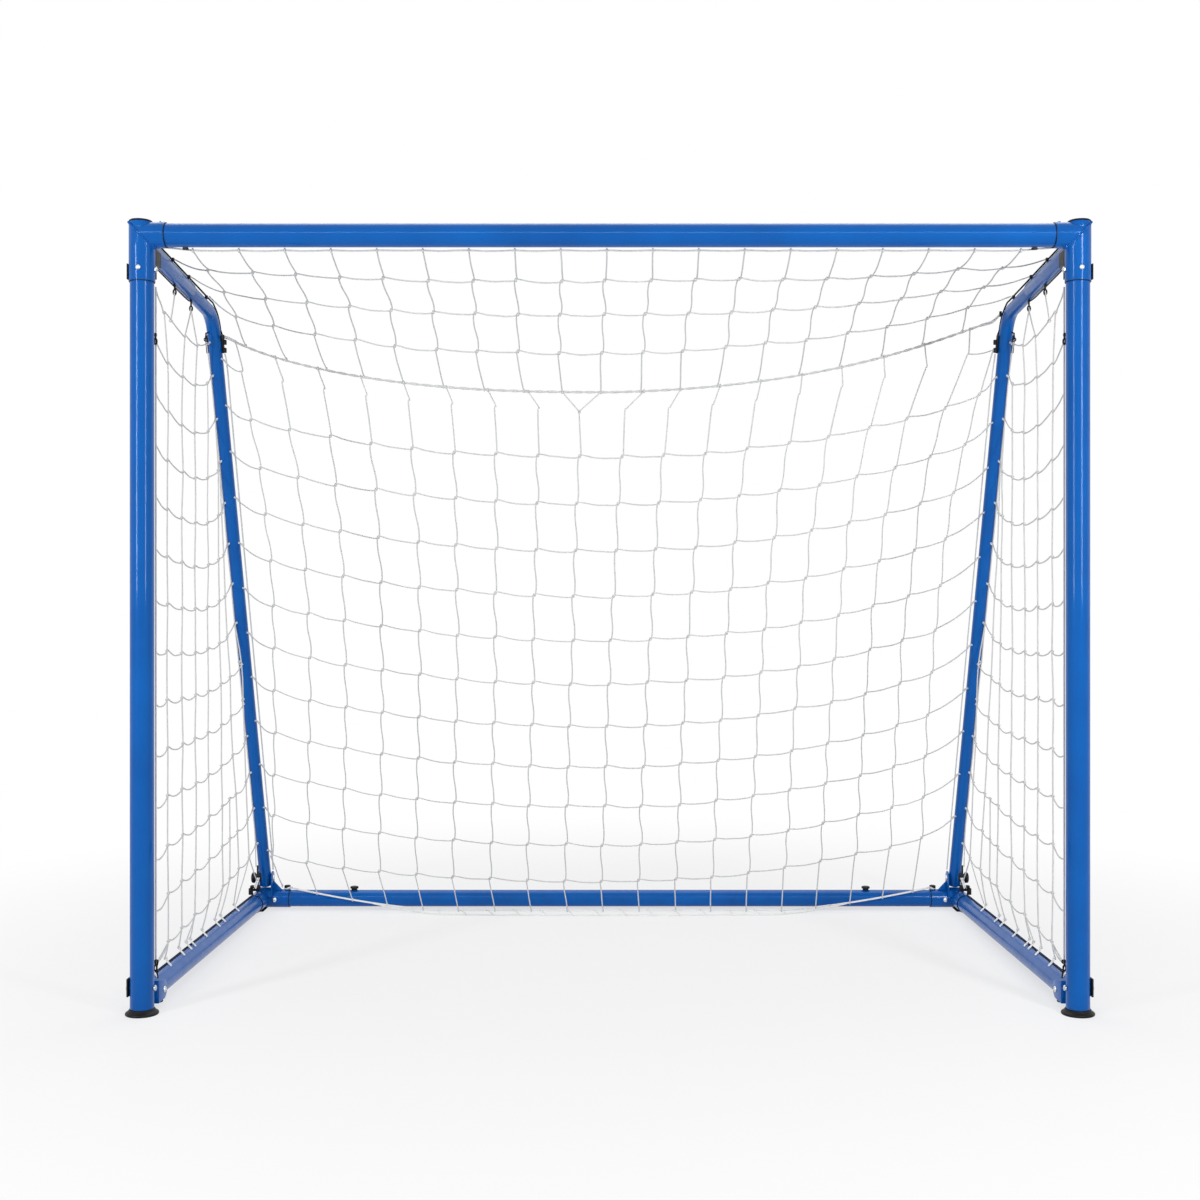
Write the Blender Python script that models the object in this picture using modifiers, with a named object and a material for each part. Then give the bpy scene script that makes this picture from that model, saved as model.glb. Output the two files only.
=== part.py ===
"""Portable folding soccer goal: tubular steel frame, two bent side hoops and a net.

X runs across the mouth, Y runs from the mouth to the back and Z is up.
The goal stands in its playing position, with the hoops in their cradles.
"""
import math

import bmesh
import bpy
from mathutils import Matrix, Vector

# Driving dimensions, metres
POST_SPAN = 1.785            # between the two post axes
CROSSBAR_Z = 1.4855          # crossbar axis above the floor
FRONT_OD = 0.045             # posts and crossbar
FRONT_SLEEVE_OD = 0.049      # welded top corners
GROUND_OD = 0.042            # side bars and rear bar
GROUND_SLEEVE_OD = 0.0455    # rear corners
HOOP_OD = 0.030              # bent side tubes
HOOP_SLEEVE_OD = 0.034       # swaged front end of a hoop
TUBE_WALL = 0.0012
SLEEVE_WALL = 0.0016
REAR_BAR_Y = 1.004           # rear bar axis behind the post axes
REAR_BAR_Z = 0.026
FRONT_HINGE = Vector((0.0, 0.059, 0.033))     # post foot hinge, seen from the side
HOOP_HINGE = Vector((0.0, 0.992, 0.0806))     # hoop foot hinge, seen from the side
HOOP_START = Vector((0.0, 0.0315, 1.4698))    # front end of the hoop's upper run
HOOP_CORNER = Vector((0.0, 0.4925, 1.4255))   # where its run and its leg would meet
HOOP_BEND = 0.07             # bend radius on the axis
HOOP_LEAN = 0.012            # how far a hoop's foot stands inside its post
BOLT_R = 0.003               # M6 shanks
GAP = 0.0003                 # between neighbours that touch
CUT = 0.04                   # how far a drill reaches past the axis it crosses
NET_CORD = 0.0035
ROPE_R = 0.003
SIDES = 20
BOLT_SIDES = 10

# Fittings
FOOT_R = 0.0315              # flange of a post's foot
PLATE_THICK = 0.0038         # black plates outside the posts' feet
BOSS_R = 0.0212              # flat seat under a corner's cap
BOSS_OUT = 0.0025            # how far the seat stands outside the post's axis
BOSS_RISE = 0.0005
SCREW_INSET = 0.008          # crossbar screws, outside the inner ends of the corners
SCREW_DEPTH = 0.006
CRADLE_HALF = 0.0195         # half width of the plate behind a top corner
CRADLE_THICK = 0.0042
CRADLE_REACH = 0.036         # how far a cradle carries the hoop's sleeve
CRADLE_LIP = 0.006           # its lips end this far below the hoop's axis
EAR_THICK = 0.003
FRONT_EAR_R = 0.0185
FRONT_EAR_X = 0.024          # middles of the front ears beside the side bar's axis
REAR_EAR_R = 0.017
REAR_EAR_X = 0.0185
HOOP_PIN_X = 0.0203          # outer faces of the rear ears, with a gap
FRONT_PIN_X = 0.0258         # outer faces of the front ears, with a gap
REAR_BOLT_X = 0.855
PIN_INSET = 0.006            # lock pins, outside the inner ends of the rear corners
REAR_NUT = 0.001             # low round nut behind each rear corner
SADDLE_FRONT, SADDLE_BACK = 0.974, 1.016      # low bridge between the rear ears
SADDLE_TOP = 0.0555
HOOP_TAIL = 0.019            # how far a leg runs on past its hinge
TUBE_START_Y = 0.200         # front end of the bent tube, inside its sleeve
SLEEVE_END_Y = 0.310
PAD_Y = 0.092                # pads under the side bars' front ends
PAD_R = 0.013
COLLAR_R = 0.0205            # clamp behind each hoop's leg
COLLAR_TOP = 1.382
COLLAR_LOW = 1.345

# Depth of the box around everything, from the feet's front edge to the rear nuts
FRONT_EDGE = -FOOT_R
REAR_EDGE = REAR_BAR_Y + GROUND_SLEEVE_OD / 2 + GAP + REAR_NUT
SHIFT_Y = -(FRONT_EDGE + REAR_EDGE) / 2

POST_X = POST_SPAN / 2
HOOP_FOOT_X = POST_X - HOOP_LEAN
FOOT_TOP = 0.0115
POST_TOP = 1.455
CORNER_DROP = 1.397          # lower end of a top corner's sleeve
CORNER_REACH = 0.8465        # inner end of a top corner's sleeve
CORNER_BOLT_Z = 1.420
FOOT_BOLT_Z = 0.050
REAR_SEAM_X = 0.8205         # inner end of a rear corner's sleeve
REAR_BUTTON_X = 0.655
SIDE_SLEEVE_Y = 0.92         # front end of a rear corner's side sleeve

NAMES = {-1: "left", 1: "right"}


def clear_scene():
    for obj in list(bpy.data.objects):
        bpy.data.objects.remove(obj, do_unlink=True)


def new_collection(name):
    collection = bpy.data.collections.new(name)
    bpy.context.scene.collection.children.link(collection)
    return collection


def make_material(name, colour, roughness, metallic=0.0):
    material = bpy.data.materials.new(name)
    material.use_nodes = True
    shader = material.node_tree.nodes["Principled BSDF"]
    shader.inputs["Base Color"].default_value = (*colour, 1.0)
    shader.inputs["Roughness"].default_value = roughness
    shader.inputs["Metallic"].default_value = metallic
    material.diffuse_color = (*colour, 1.0)
    return material


def add_object(name, data, material, parent=None):
    obj = bpy.data.objects.new(name, data)
    goal.objects.link(obj)
    data.materials.append(material)
    if parent is not None:
        obj.parent = parent
        obj.matrix_parent_inverse = parent.matrix_world.inverted()
    return obj


def add_empty(name, place):
    empty = bpy.data.objects.new(name, None)
    empty.empty_display_size = 0.05
    empty.location = place + Vector((0.0, SHIFT_Y, 0.0))
    goal.objects.link(empty)
    bpy.context.view_layer.update()
    return empty


def shifted(points):
    """Points measured from the post axes, moved into the part's own frame."""
    return [Vector(point) + Vector((0.0, SHIFT_Y, 0.0)) for point in points]


def along(start, end):
    """Matrix that lays the Z axis of a shape from start towards end, centred between them."""
    start, end = shifted((start, end))
    turn = (end - start).to_track_quat("Z", "Y").to_matrix().to_4x4()
    return Matrix.Translation((start + end) / 2) @ turn


def cylinder(start, end, radius, caps=True, sides=SIDES):
    shape = bmesh.new()
    length = (Vector(end) - Vector(start)).length
    bmesh.ops.create_cone(shape, cap_ends=caps, segments=sides, radius1=radius, radius2=radius,
                          depth=length, matrix=along(start, end))
    return shape


def box(low, high):
    low, high = shifted((low, high))
    shape = bmesh.new()
    size = Matrix.Diagonal((*(high - low), 1.0))
    bmesh.ops.create_cube(shape, size=1.0, matrix=Matrix.Translation((low + high) / 2) @ size)
    return shape


def to_mesh(name, shape):
    bmesh.ops.recalc_face_normals(shape, faces=shape.faces[:])
    mesh = bpy.data.meshes.new(name)
    shape.to_mesh(mesh)
    shape.free()
    mesh.shade_smooth()
    mesh.set_sharp_from_angle(angle=math.radians(35))
    return mesh


def combine(obj, shape, operation):
    """Cut the shape from obj, or weld it on, with a live Boolean."""
    tool = bpy.data.objects.new(obj.name + "_tool", to_mesh(obj.name + "_tool", shape))
    tools.objects.link(tool)
    tool.hide_render = True
    tool.display_type = "WIRE"
    modifier = obj.modifiers.new(operation.lower(), "BOOLEAN")
    modifier.operation = operation
    modifier.object = tool
    modifier.solver = "EXACT"


def drill(obj, start, end, radius=BOLT_R + GAP):
    combine(obj, cylinder(start, end, radius, sides=BOLT_SIDES), "DIFFERENCE")


def hollow_tube(name, start, end, diameter, material, wall=TUBE_WALL, parent=None):
    shape = cylinder(start, end, diameter / 2, caps=False)
    obj = add_object(name, to_mesh(name, shape), material, parent)
    give_wall(obj, wall)
    return obj


def give_wall(obj, wall):
    skin = obj.modifiers.new("wall", "SOLIDIFY")
    skin.thickness = wall
    skin.offset = -1.0
    skin.use_even_offset = True


def turned(name, start, direction, profile, material, parent=None, sides=16):
    """Turn a profile of (radius, distance along direction) pairs, listed from the far end back."""
    mesh = bpy.data.meshes.new(name)
    mesh.from_pydata([(radius, 0.0, height) for radius, height in profile],
                     [(i, i + 1) for i in range(len(profile) - 1)], [])
    obj = add_object(name, mesh, material)
    obj.matrix_world = (Matrix.Translation(shifted((start,))[0])
                        @ Vector(direction).to_track_quat("Z", "Y").to_matrix().to_4x4())
    if parent is not None:
        obj.parent = parent
        obj.matrix_parent_inverse = parent.matrix_world.inverted()
    screw = obj.modifiers.new("turn", "SCREW")
    screw.steps = sides
    screw.render_steps = sides
    screw.use_merge_vertices = True
    screw.merge_threshold = 0.00001
    screw.use_smooth_shade = True
    return obj


def dome(radius, height, base):
    """Profile of a low domed head on the shank's axis, from its crown down to its rim."""
    return [(0.0, base + height), (radius * 0.6, base + height * 0.82),
            (radius * 0.92, base + height * 0.45), (radius, base)]


def bolt(name, head, tail, material, parent=None, head_r=0.006, nut_r=0.0055, nut_height=0.005):
    """Domed bolt: its head sits outside head, its nut outside tail, its shank runs between."""
    head, tail = Vector(head), Vector(tail)
    grip = (head - tail).length
    profile = dome(head_r, 0.0035, grip) + [(BOLT_R, grip), (BOLT_R, 0.0), (nut_r, 0.0),
                                            (nut_r, -nut_height), (0.0, -nut_height)]
    return turned(name, tail, head - tail, profile, material, parent, sides=BOLT_SIDES)


def screw_fixing(name, seat, inward, material, parent=None):
    """Short screw: its head sits on the seat, its shank goes inward."""
    shank_r = BOLT_R * 0.8
    profile = dome(0.005, 0.003, SCREW_DEPTH) + [(shank_r, SCREW_DEPTH), (shank_r, 0.0), (0.0, 0.0)]
    return turned(name, Vector(seat) + Vector(inward) * SCREW_DEPTH, -Vector(inward), profile,
                  material, parent, sides=BOLT_SIDES)


def bent_path(start, corner, end, radius, steps):
    """Straight run, arc of the given radius and straight leg, as points."""
    into = (corner - start).normalized()
    out = (end - corner).normalized()
    turn = into.angle(out)
    reach = radius * math.tan(turn / 2)
    first, last = corner - into * reach, corner + out * reach
    centre = first + (out - into * into.dot(out)).normalized() * radius
    arm = first - centre
    axis = into.cross(out).normalized()
    arc = [centre + Matrix.Rotation(turn * i / steps, 3, axis) @ arm for i in range(steps + 1)]
    return [start] + arc + [end]


def curve_tube(name, points, radius, resolution, caps):
    curve = bpy.data.curves.new(name, "CURVE")
    curve.dimensions = "3D"
    curve.bevel_depth = radius
    curve.bevel_resolution = resolution
    curve.use_fill_caps = caps
    spline = curve.splines.new("POLY")
    points = shifted(points)
    spline.points.add(len(points) - 1)
    for target, point in zip(spline.points, points):
        target.co = (*point, 1.0)
    return curve


def curve_to_mesh(obj):
    """Give a mesh object with the same name in place of a curve object, so that it can be cut."""
    bpy.context.view_layer.update()
    evaluated = obj.evaluated_get(bpy.context.evaluated_depsgraph_get())
    mesh = bpy.data.meshes.new_from_object(evaluated)
    shape = bmesh.new()
    shape.from_mesh(mesh)
    bmesh.ops.remove_doubles(shape, verts=shape.verts[:], dist=0.00001)
    shape.to_mesh(mesh)
    shape.free()
    name, parent, place = obj.name, obj.parent, obj.matrix_world.copy()
    material = obj.data.materials[0]
    bpy.data.objects.remove(obj, do_unlink=True)
    mesh.materials.clear()
    solid = add_object(name, mesh, material, parent)
    solid.matrix_world = place
    return solid


def hoop_x(side, point_y):
    """The hoop leans in evenly from the post's plane to its foot."""
    share = (point_y - HOOP_START.y) / (HOOP_HINGE.y - HOOP_START.y)
    return side * (POST_X - HOOP_LEAN * share)


def hoop_leg(z):
    """Depth of the leg's axis at a height."""
    share = (HOOP_CORNER.z - z) / (HOOP_CORNER.z - HOOP_HINGE.z)
    return HOOP_CORNER.y + (HOOP_HINGE.y - HOOP_CORNER.y) * share


def hoop_run(y):
    """Height of the run's axis at a depth."""
    share = (y - HOOP_START.y) / (HOOP_CORNER.y - HOOP_START.y)
    return HOOP_START.z + (HOOP_CORNER.z - HOOP_START.z) * share


def build_posts(side):
    name = NAMES[side]
    x = side * POST_X
    post = hollow_tube("post_" + name, (x, 0, FOOT_TOP + GAP), (x, 0, POST_TOP), FRONT_OD, blue,
                       parent=front)
    for height in (FOOT_BOLT_Z, CORNER_BOLT_Z):
        drill(post, (x - CUT, 0, height), (x + CUT, 0, height))
    drill(post, (x, -CUT, CORNER_BOLT_Z), (x, -BOLT_R, CORNER_BOLT_Z))

    plug_r = FRONT_OD / 2 - TUBE_WALL - 0.0006
    turned("foot_" + name, (x, 0, 0), (0, 0, 1),
           [(0.0, 0.044), (plug_r - 0.003, 0.044), (plug_r, 0.038), (plug_r, FOOT_TOP),
            (0.0245, FOOT_TOP), (0.0305, 0.008), (FOOT_R, 0.005), (0.0305, 0.0), (0.0, 0.0)],
           black, front, sides=SIDES)

    outer = side * (POST_X + FRONT_OD / 2 + GAP)
    plate_low = (outer, -0.012, 0.035)
    plate_high = (outer + side * PLATE_THICK, 0.012, 0.070)
    plate = add_object("foot_plate_" + name, to_mesh("foot_plate", box(plate_low, plate_high)),
                       black, front)
    drill(plate, (outer - CUT, 0, FOOT_BOLT_Z), (outer + CUT, 0, FOOT_BOLT_Z))
    bolt("foot_bolt_" + name, (outer + side * (PLATE_THICK + GAP), 0, FOOT_BOLT_Z),
         (side * (POST_X - FRONT_OD / 2 - GAP), 0, FOOT_BOLT_Z), zinc, front)


def build_top_corner(side):
    """Mitred sleeve corner with a flat boss on top for its cap."""
    name = NAMES[side]
    x = side * POST_X
    corner = Vector((x, 0, CROSSBAR_Z))
    radius = FRONT_SLEEVE_OD / 2
    centre = shifted((corner,))[0]
    shape = cylinder((x, 0, CORNER_DROP), (x, 0, CROSSBAR_Z + 0.05), radius, caps=False)
    bmesh.ops.bisect_plane(shape, geom=shape.verts[:] + shape.edges[:] + shape.faces[:],
                           plane_co=centre, plane_no=Vector((-side, 0, 1)).normalized(),
                           clear_outer=True)
    copy = bmesh.ops.duplicate(shape, geom=shape.verts[:] + shape.edges[:] + shape.faces[:])
    copied = [item for item in copy["geom"] if isinstance(item, bmesh.types.BMVert)]
    flip = Matrix(((0, 0, side), (0, 1, 0), (side, 0, 0))).to_4x4()
    bmesh.ops.transform(shape, verts=copied, space=Matrix.Translation(-centre), matrix=flip)
    bmesh.ops.bisect_plane(shape, geom=shape.verts[:] + shape.edges[:] + shape.faces[:],
                           plane_co=(side * CORNER_REACH, 0, 0), plane_no=(-side, 0, 0),
                           clear_outer=True)
    bmesh.ops.remove_doubles(shape, verts=shape.verts[:], dist=0.00002)
    sleeve = add_object("top_corner_" + name, to_mesh("top_corner", shape), blue, front)
    give_wall(sleeve, SLEEVE_WALL)
    boss_x = side * (POST_X + BOSS_OUT)
    top = CROSSBAR_Z + radius
    boss_low, boss_high = (boss_x, 0, top - 0.016), (boss_x, 0, top + BOSS_RISE)
    combine(sleeve, cylinder(boss_low, boss_high, BOSS_R), "UNION")
    drill(sleeve, (x - CUT, 0, CORNER_BOLT_Z), (x + CUT, 0, CORNER_BOLT_Z))
    drill(sleeve, (x, -CUT, CORNER_BOLT_Z), (x, -BOLT_R, CORNER_BOLT_Z))
    seam_x = side * (CORNER_REACH + SCREW_INSET)
    drill(sleeve, (seam_x, 0, CROSSBAR_Z), (seam_x, 0, CROSSBAR_Z + CUT))

    turned("corner_cap_" + name, (boss_x, 0, top + BOSS_RISE + GAP), (0, 0, 1),
           [(0.0, 0.0042), (0.015, 0.0038), (0.0205, 0.0024), (0.022, 0.0), (0.0, 0.0)],
           black, front, sides=SIDES)
    bolt("corner_bolt_" + name, (side * (POST_X + radius + GAP), 0, CORNER_BOLT_Z),
         (side * (POST_X - radius - GAP), 0, CORNER_BOLT_Z), zinc, front)
    screw_fixing("corner_screw_" + name, (x, -radius - GAP, CORNER_BOLT_Z), (0, 1, 0), zinc, front)
    screw_fixing("crossbar_screw_" + name, (seam_x, 0, top + GAP), (0, 0, -1), zinc, front)


def build_crossbar():
    reach = POST_X - 0.0305
    bar = hollow_tube("crossbar", (-reach, 0, CROSSBAR_Z), (reach, 0, CROSSBAR_Z), FRONT_OD, blue,
                      parent=front)
    for side in NAMES:
        seam_x = side * (CORNER_REACH + SCREW_INSET)
        drill(bar, (seam_x, 0, CROSSBAR_Z), (seam_x, 0, CROSSBAR_Z + CUT))


def build_cradle(side):
    """Saddle behind the corner: the hoop's front end lies in it and lifts out of it."""
    name = NAMES[side]
    x = side * POST_X
    back = FRONT_SLEEVE_OD / 2 + GAP
    low = (x - CRADLE_HALF, back, CORNER_DROP + 0.010)
    high = (x + CRADLE_HALF, back + CRADLE_THICK, HOOP_START.z)
    cradle = add_object("hoop_cradle_" + name, to_mesh("hoop_cradle", box(low, high)), black, front)
    inset, base = 0.001, HOOP_START.z - HOOP_SLEEVE_OD
    combine(cradle, box((x - CRADLE_HALF + inset, back + CRADLE_THICK / 2, base),
                        (x + CRADLE_HALF - inset, back + CRADLE_REACH, HOOP_START.z - CRADLE_LIP)),
            "UNION")
    start = HOOP_START + Vector((x, -0.002, 0.0))
    way = (HOOP_CORNER - HOOP_START).normalized()
    trough_r = HOOP_SLEEVE_OD / 2 + 0.0006
    combine(cradle, cylinder(start, start + way * 0.2, trough_r), "DIFFERENCE")


def flat_plate(outline, thickness, stand):
    """Flat outline with a thickness, made a mesh and stood up by the matrix."""
    curve = bpy.data.curves.new("plate", "CURVE")
    curve.dimensions = "2D"
    curve.fill_mode = "BOTH"
    curve.extrude = thickness / 2
    spline = curve.splines.new("POLY")
    spline.points.add(len(outline) - 1)
    for target, (first, second) in zip(spline.points, outline):
        target.co = (first, second, 0.0, 1.0)
    spline.use_cyclic_u = True
    solid = curve_to_mesh(add_object("plate", curve, blue))
    shape = bmesh.new()
    shape.from_mesh(solid.data)
    bmesh.ops.transform(shape, verts=shape.verts[:], matrix=stand)
    bmesh.ops.recalc_face_normals(shape, faces=shape.faces[:])
    shape.to_mesh(solid.data)
    shape.free()
    return solid


def ear_plate(x, centre, radius, root_low, root_high):
    """Plate across X with a round end about centre and a straight root."""
    low, high = Vector(root_low), Vector(root_high)
    middle = (low + high) / 2
    away = (Vector((centre.y, centre.z)) - middle).normalized()
    across = Vector((away.y, -away.x))
    if (low - middle).dot(across) < 0:
        across = -across
    steps = 10
    outline = [high, low]
    for i in range(steps + 1):
        angle = math.pi * i / steps
        arm = across * math.cos(angle) + away * math.sin(angle)
        outline.append(Vector((centre.y, centre.z)) + arm * radius)
    stand = Matrix(((0, 0, 1, x), (1, 0, 0, SHIFT_Y), (0, 1, 0, 0), (0, 0, 0, 1)))
    return flat_plate(outline, EAR_THICK, stand)


def weld_on(obj, other):
    """Join a finished solid to obj with a Boolean union and keep it as a tool."""
    goal.objects.unlink(other)
    tools.objects.link(other)
    other.name = obj.name + "_welded"
    other.hide_render = True
    other.display_type = "WIRE"
    modifier = obj.modifiers.new("union", "BOOLEAN")
    modifier.operation = "UNION"
    modifier.object = other
    modifier.solver = "EXACT"


def build_front_hinge(side):
    """Channel bracket behind the post; the side bar's end turns between its ears."""
    name = NAMES[side]
    x = side * POST_X
    web_y = FRONT_OD / 2 + 0.0004
    bracket = add_object("hinge_bracket_" + name,
                         to_mesh("hinge_bracket", box((x - 0.0255, web_y, 0.014),
                                                      (x + 0.0255, web_y + 0.003, 0.058))),
                         blue, front)
    for offset in (-FRONT_EAR_X, FRONT_EAR_X):
        weld_on(bracket, ear_plate(x + offset, FRONT_HINGE, FRONT_EAR_R, (web_y + 0.001, 0.0145),
                                   (web_y + 0.001, 0.0575)))
    drill(bracket, (x - CUT, FRONT_HINGE.y, FRONT_HINGE.z), (x + CUT, FRONT_HINGE.y, FRONT_HINGE.z))
    bolt("hinge_bolt_" + name, (x - side * FRONT_PIN_X, FRONT_HINGE.y, FRONT_HINGE.z),
         (x + side * FRONT_PIN_X, FRONT_HINGE.y, FRONT_HINGE.z), zinc)


def build_side_bar(side):
    name = NAMES[side]
    x = side * POST_X
    slope = (REAR_BAR_Z - FRONT_HINGE.z) / (REAR_BAR_Y - FRONT_HINGE.y)
    start_y, end_y = FRONT_HINGE.y - 0.0195, REAR_BAR_Y - 0.030
    start = (x, start_y, FRONT_HINGE.z + slope * (start_y - FRONT_HINGE.y))
    end = (x, end_y, FRONT_HINGE.z + slope * (end_y - FRONT_HINGE.y))
    bar = hollow_tube("side_bar_" + name, start, end, GROUND_OD, blue)
    drill(bar, (x - CUT, FRONT_HINGE.y, FRONT_HINGE.z), (x + CUT, FRONT_HINGE.y, FRONT_HINGE.z))

    pad_top = FRONT_HINGE.z + slope * (PAD_Y + PAD_R - FRONT_HINGE.y) - GROUND_OD / 2 - GAP
    turned("front_pad_" + name, (x, PAD_Y, 0), (0, 0, 1),
           [(0.0, pad_top), (0.011, pad_top), (PAD_R, 0.002), (0.0125, 0.0), (0.0, 0.0)], black)
    return slope


def saddle(foot_x):
    """Low arched bridge between the rear ears, just clear of the leg's end."""
    middle, half = (SADDLE_FRONT + SADDLE_BACK) / 2, (SADDLE_BACK - SADDLE_FRONT) / 2
    rise, root, steps = 0.0095, REAR_BAR_Z + 0.008, 8
    outline = [(SADDLE_BACK, root), (SADDLE_FRONT, root)]
    for i in range(steps + 1):
        share = 2 * i / steps - 1
        outline.append((middle + half * share, SADDLE_TOP - rise * share * share))
    stand = Matrix(((0, 0, 1, foot_x), (1, 0, 0, SHIFT_Y), (0, 1, 0, 0), (0, 0, 0, 1)))
    return flat_plate(outline, 2 * REAR_EAR_X - EAR_THICK / 2, stand)


def build_rear_corner(side, slope):
    """Side sleeve and rear sleeve welded at a right angle, with the ears of the hoop's hinge."""
    name = NAMES[side]
    x = side * POST_X
    radius = GROUND_SLEEVE_OD / 2
    inner = GROUND_OD / 2 + 0.0004
    front_end = Vector((x, SIDE_SLEEVE_Y, REAR_BAR_Z + slope * (SIDE_SLEEVE_Y - REAR_BAR_Y)))
    middle = Vector((x, REAR_BAR_Y, REAR_BAR_Z))
    way = (middle - front_end).normalized()
    rear_end = middle + way * (radius - 0.0002)
    obj = add_object("rear_corner_" + name,
                     to_mesh("rear_corner", cylinder(front_end, rear_end, radius)), blue)
    combine(obj, cylinder(middle, (side * REAR_SEAM_X, REAR_BAR_Y, REAR_BAR_Z), radius), "UNION")
    foot_x = side * HOOP_FOOT_X
    for offset in (-REAR_EAR_X, REAR_EAR_X):
        weld_on(obj, ear_plate(foot_x + offset, HOOP_HINGE, REAR_EAR_R,
                               (REAR_BAR_Y - 0.030, REAR_BAR_Z + 0.008),
                               (REAR_BAR_Y + 0.012, REAR_BAR_Z + 0.008)))
    weld_on(obj, saddle(foot_x))
    drill(obj, (foot_x - CUT, HOOP_HINGE.y, HOOP_HINGE.z), (foot_x + CUT, HOOP_HINGE.y, HOOP_HINGE.z))

    gusset_x, gusset_low, gusset_reach = HOOP_FOOT_X - 0.0190, REAR_BAR_Z + 0.010, 0.024
    outline = ((gusset_x, gusset_low), (gusset_x, 0.074),
               (gusset_x - gusset_reach, gusset_low + 0.0115), (gusset_x - gusset_reach, gusset_low))
    stand = Matrix(((1, 0, 0, 0), (0, 0, 1, HOOP_HINGE.y + 0.004 + SHIFT_Y), (0, 1, 0, 0),
                    (0, 0, 0, 1)))
    weld_on(obj, flat_plate([(side * px, pz) for px, pz in outline], EAR_THICK, stand))

    combine(obj, cylinder(front_end - way * 0.01, middle - way * 0.028, inner), "DIFFERENCE")
    combine(obj, cylinder((side * (REAR_SEAM_X - 0.01), REAR_BAR_Y, REAR_BAR_Z),
                          (side * (POST_X - 0.026), REAR_BAR_Y, REAR_BAR_Z), inner), "DIFFERENCE")
    bolt_x = side * REAR_BOLT_X
    drill(obj, (bolt_x, REAR_BAR_Y - CUT, REAR_BAR_Z), (bolt_x, REAR_BAR_Y + CUT, REAR_BAR_Z))
    pin_x = side * (REAR_SEAM_X + PIN_INSET)
    drill(obj, (pin_x, REAR_BAR_Y, REAR_BAR_Z), (pin_x, REAR_BAR_Y, REAR_BAR_Z + CUT))
    bolt("rear_bolt_" + name, (bolt_x, REAR_BAR_Y - radius - GAP, REAR_BAR_Z),
         (bolt_x, REAR_BAR_Y + radius + GAP, REAR_BAR_Z), zinc, nut_height=REAR_NUT)

    pad_top = REAR_BAR_Z - radius - GAP
    add_object("rear_pad_" + name, to_mesh("rear_pad", box((x - 0.014, REAR_BAR_Y - 0.045, 0.0),
                                                           (x + 0.014, REAR_BAR_Y + 0.012, pad_top))),
               black)


def build_rear_bar():
    reach = POST_X - 0.0275
    bar = hollow_tube("rear_bar", (-reach, REAR_BAR_Y, REAR_BAR_Z), (reach, REAR_BAR_Y, REAR_BAR_Z),
                      GROUND_OD, blue)
    for side in NAMES:
        name = NAMES[side]
        pin_x = side * (REAR_SEAM_X + PIN_INSET)
        button_x = side * REAR_BUTTON_X
        for x in (pin_x, button_x):
            drill(bar, (x, REAR_BAR_Y, REAR_BAR_Z), (x, REAR_BAR_Y, REAR_BAR_Z + CUT))
        bolt_x = side * REAR_BOLT_X
        drill(bar, (bolt_x, REAR_BAR_Y - CUT, REAR_BAR_Z), (bolt_x, REAR_BAR_Y + CUT, REAR_BAR_Z))
        top = REAR_BAR_Z + GROUND_SLEEVE_OD / 2
        turned("lock_pin_" + name, (pin_x, REAR_BAR_Y, top + GAP), (0, 0, 1),
               [(0.0, 0.0105), (0.006, 0.0105), (0.008, 0.0085), (0.008, 0.003), (0.0055, 0.0022),
                (0.0055, 0.0), (BOLT_R, 0.0), (BOLT_R, -0.014), (0.0, -0.016)], black, sides=BOLT_SIDES)
        top = REAR_BAR_Z + GROUND_OD / 2
        turned("net_button_" + name, (button_x, REAR_BAR_Y, top + GAP), (0, 0, 1),
               [(0.0, 0.0095), (0.009, 0.0095), (0.0105, 0.0075), (0.0105, 0.0045),
                (0.0075, 0.0035), (0.0075, 0.0), (BOLT_R, 0.0), (BOLT_R, -0.008), (0.0, -0.009)],
               black, sides=BOLT_SIDES)


def build_hoop(side):
    name = NAMES[side]
    tail = HOOP_HINGE + (HOOP_HINGE - HOOP_CORNER).normalized() * HOOP_TAIL
    tube_start = Vector((0.0, TUBE_START_Y, hoop_run(TUBE_START_Y)))
    path = bent_path(tube_start, HOOP_CORNER, tail, HOOP_BEND, 6)
    points = [Vector((hoop_x(side, p.y), p.y, p.z)) for p in path]
    obj = add_object("hoop_" + name, curve_tube("hoop_" + name, points, HOOP_OD / 2, 5, False),
                     blue, hoops)
    tube = curve_to_mesh(obj)
    tube.data.shade_smooth()
    give_wall(tube, TUBE_WALL)
    foot_x = side * HOOP_FOOT_X
    drill(tube, (foot_x - CUT, HOOP_HINGE.y, HOOP_HINGE.z), (foot_x + CUT, HOOP_HINGE.y, HOOP_HINGE.z))

    start = Vector((hoop_x(side, HOOP_START.y), HOOP_START.y, HOOP_START.z))
    end = Vector((hoop_x(side, SLEEVE_END_Y), SLEEVE_END_Y, hoop_run(SLEEVE_END_Y)))
    hollow_tube("hoop_sleeve_" + name, start, end, HOOP_SLEEVE_OD, blue, wall=SLEEVE_WALL,
                parent=hoops)

    build_collar(side)

    outer, nut_height = side * (HOOP_FOOT_X + HOOP_PIN_X), 0.003
    bolt("hoop_bolt_" + name, (foot_x - side * HOOP_PIN_X, HOOP_HINGE.y, HOOP_HINGE.z),
         (outer, HOOP_HINGE.y, HOOP_HINGE.z), zinc, nut_height=nut_height)
    turned("hoop_knob_" + name, (outer + side * (nut_height + GAP), HOOP_HINGE.y, HOOP_HINGE.z),
           (side, 0, 0), [(0.0, 0.011), (0.010, 0.011), (0.0135, 0.008), (0.0135, 0.003),
                          (0.009, 0.0), (0.0, 0.0)], black, sides=BOLT_SIDES)


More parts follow.
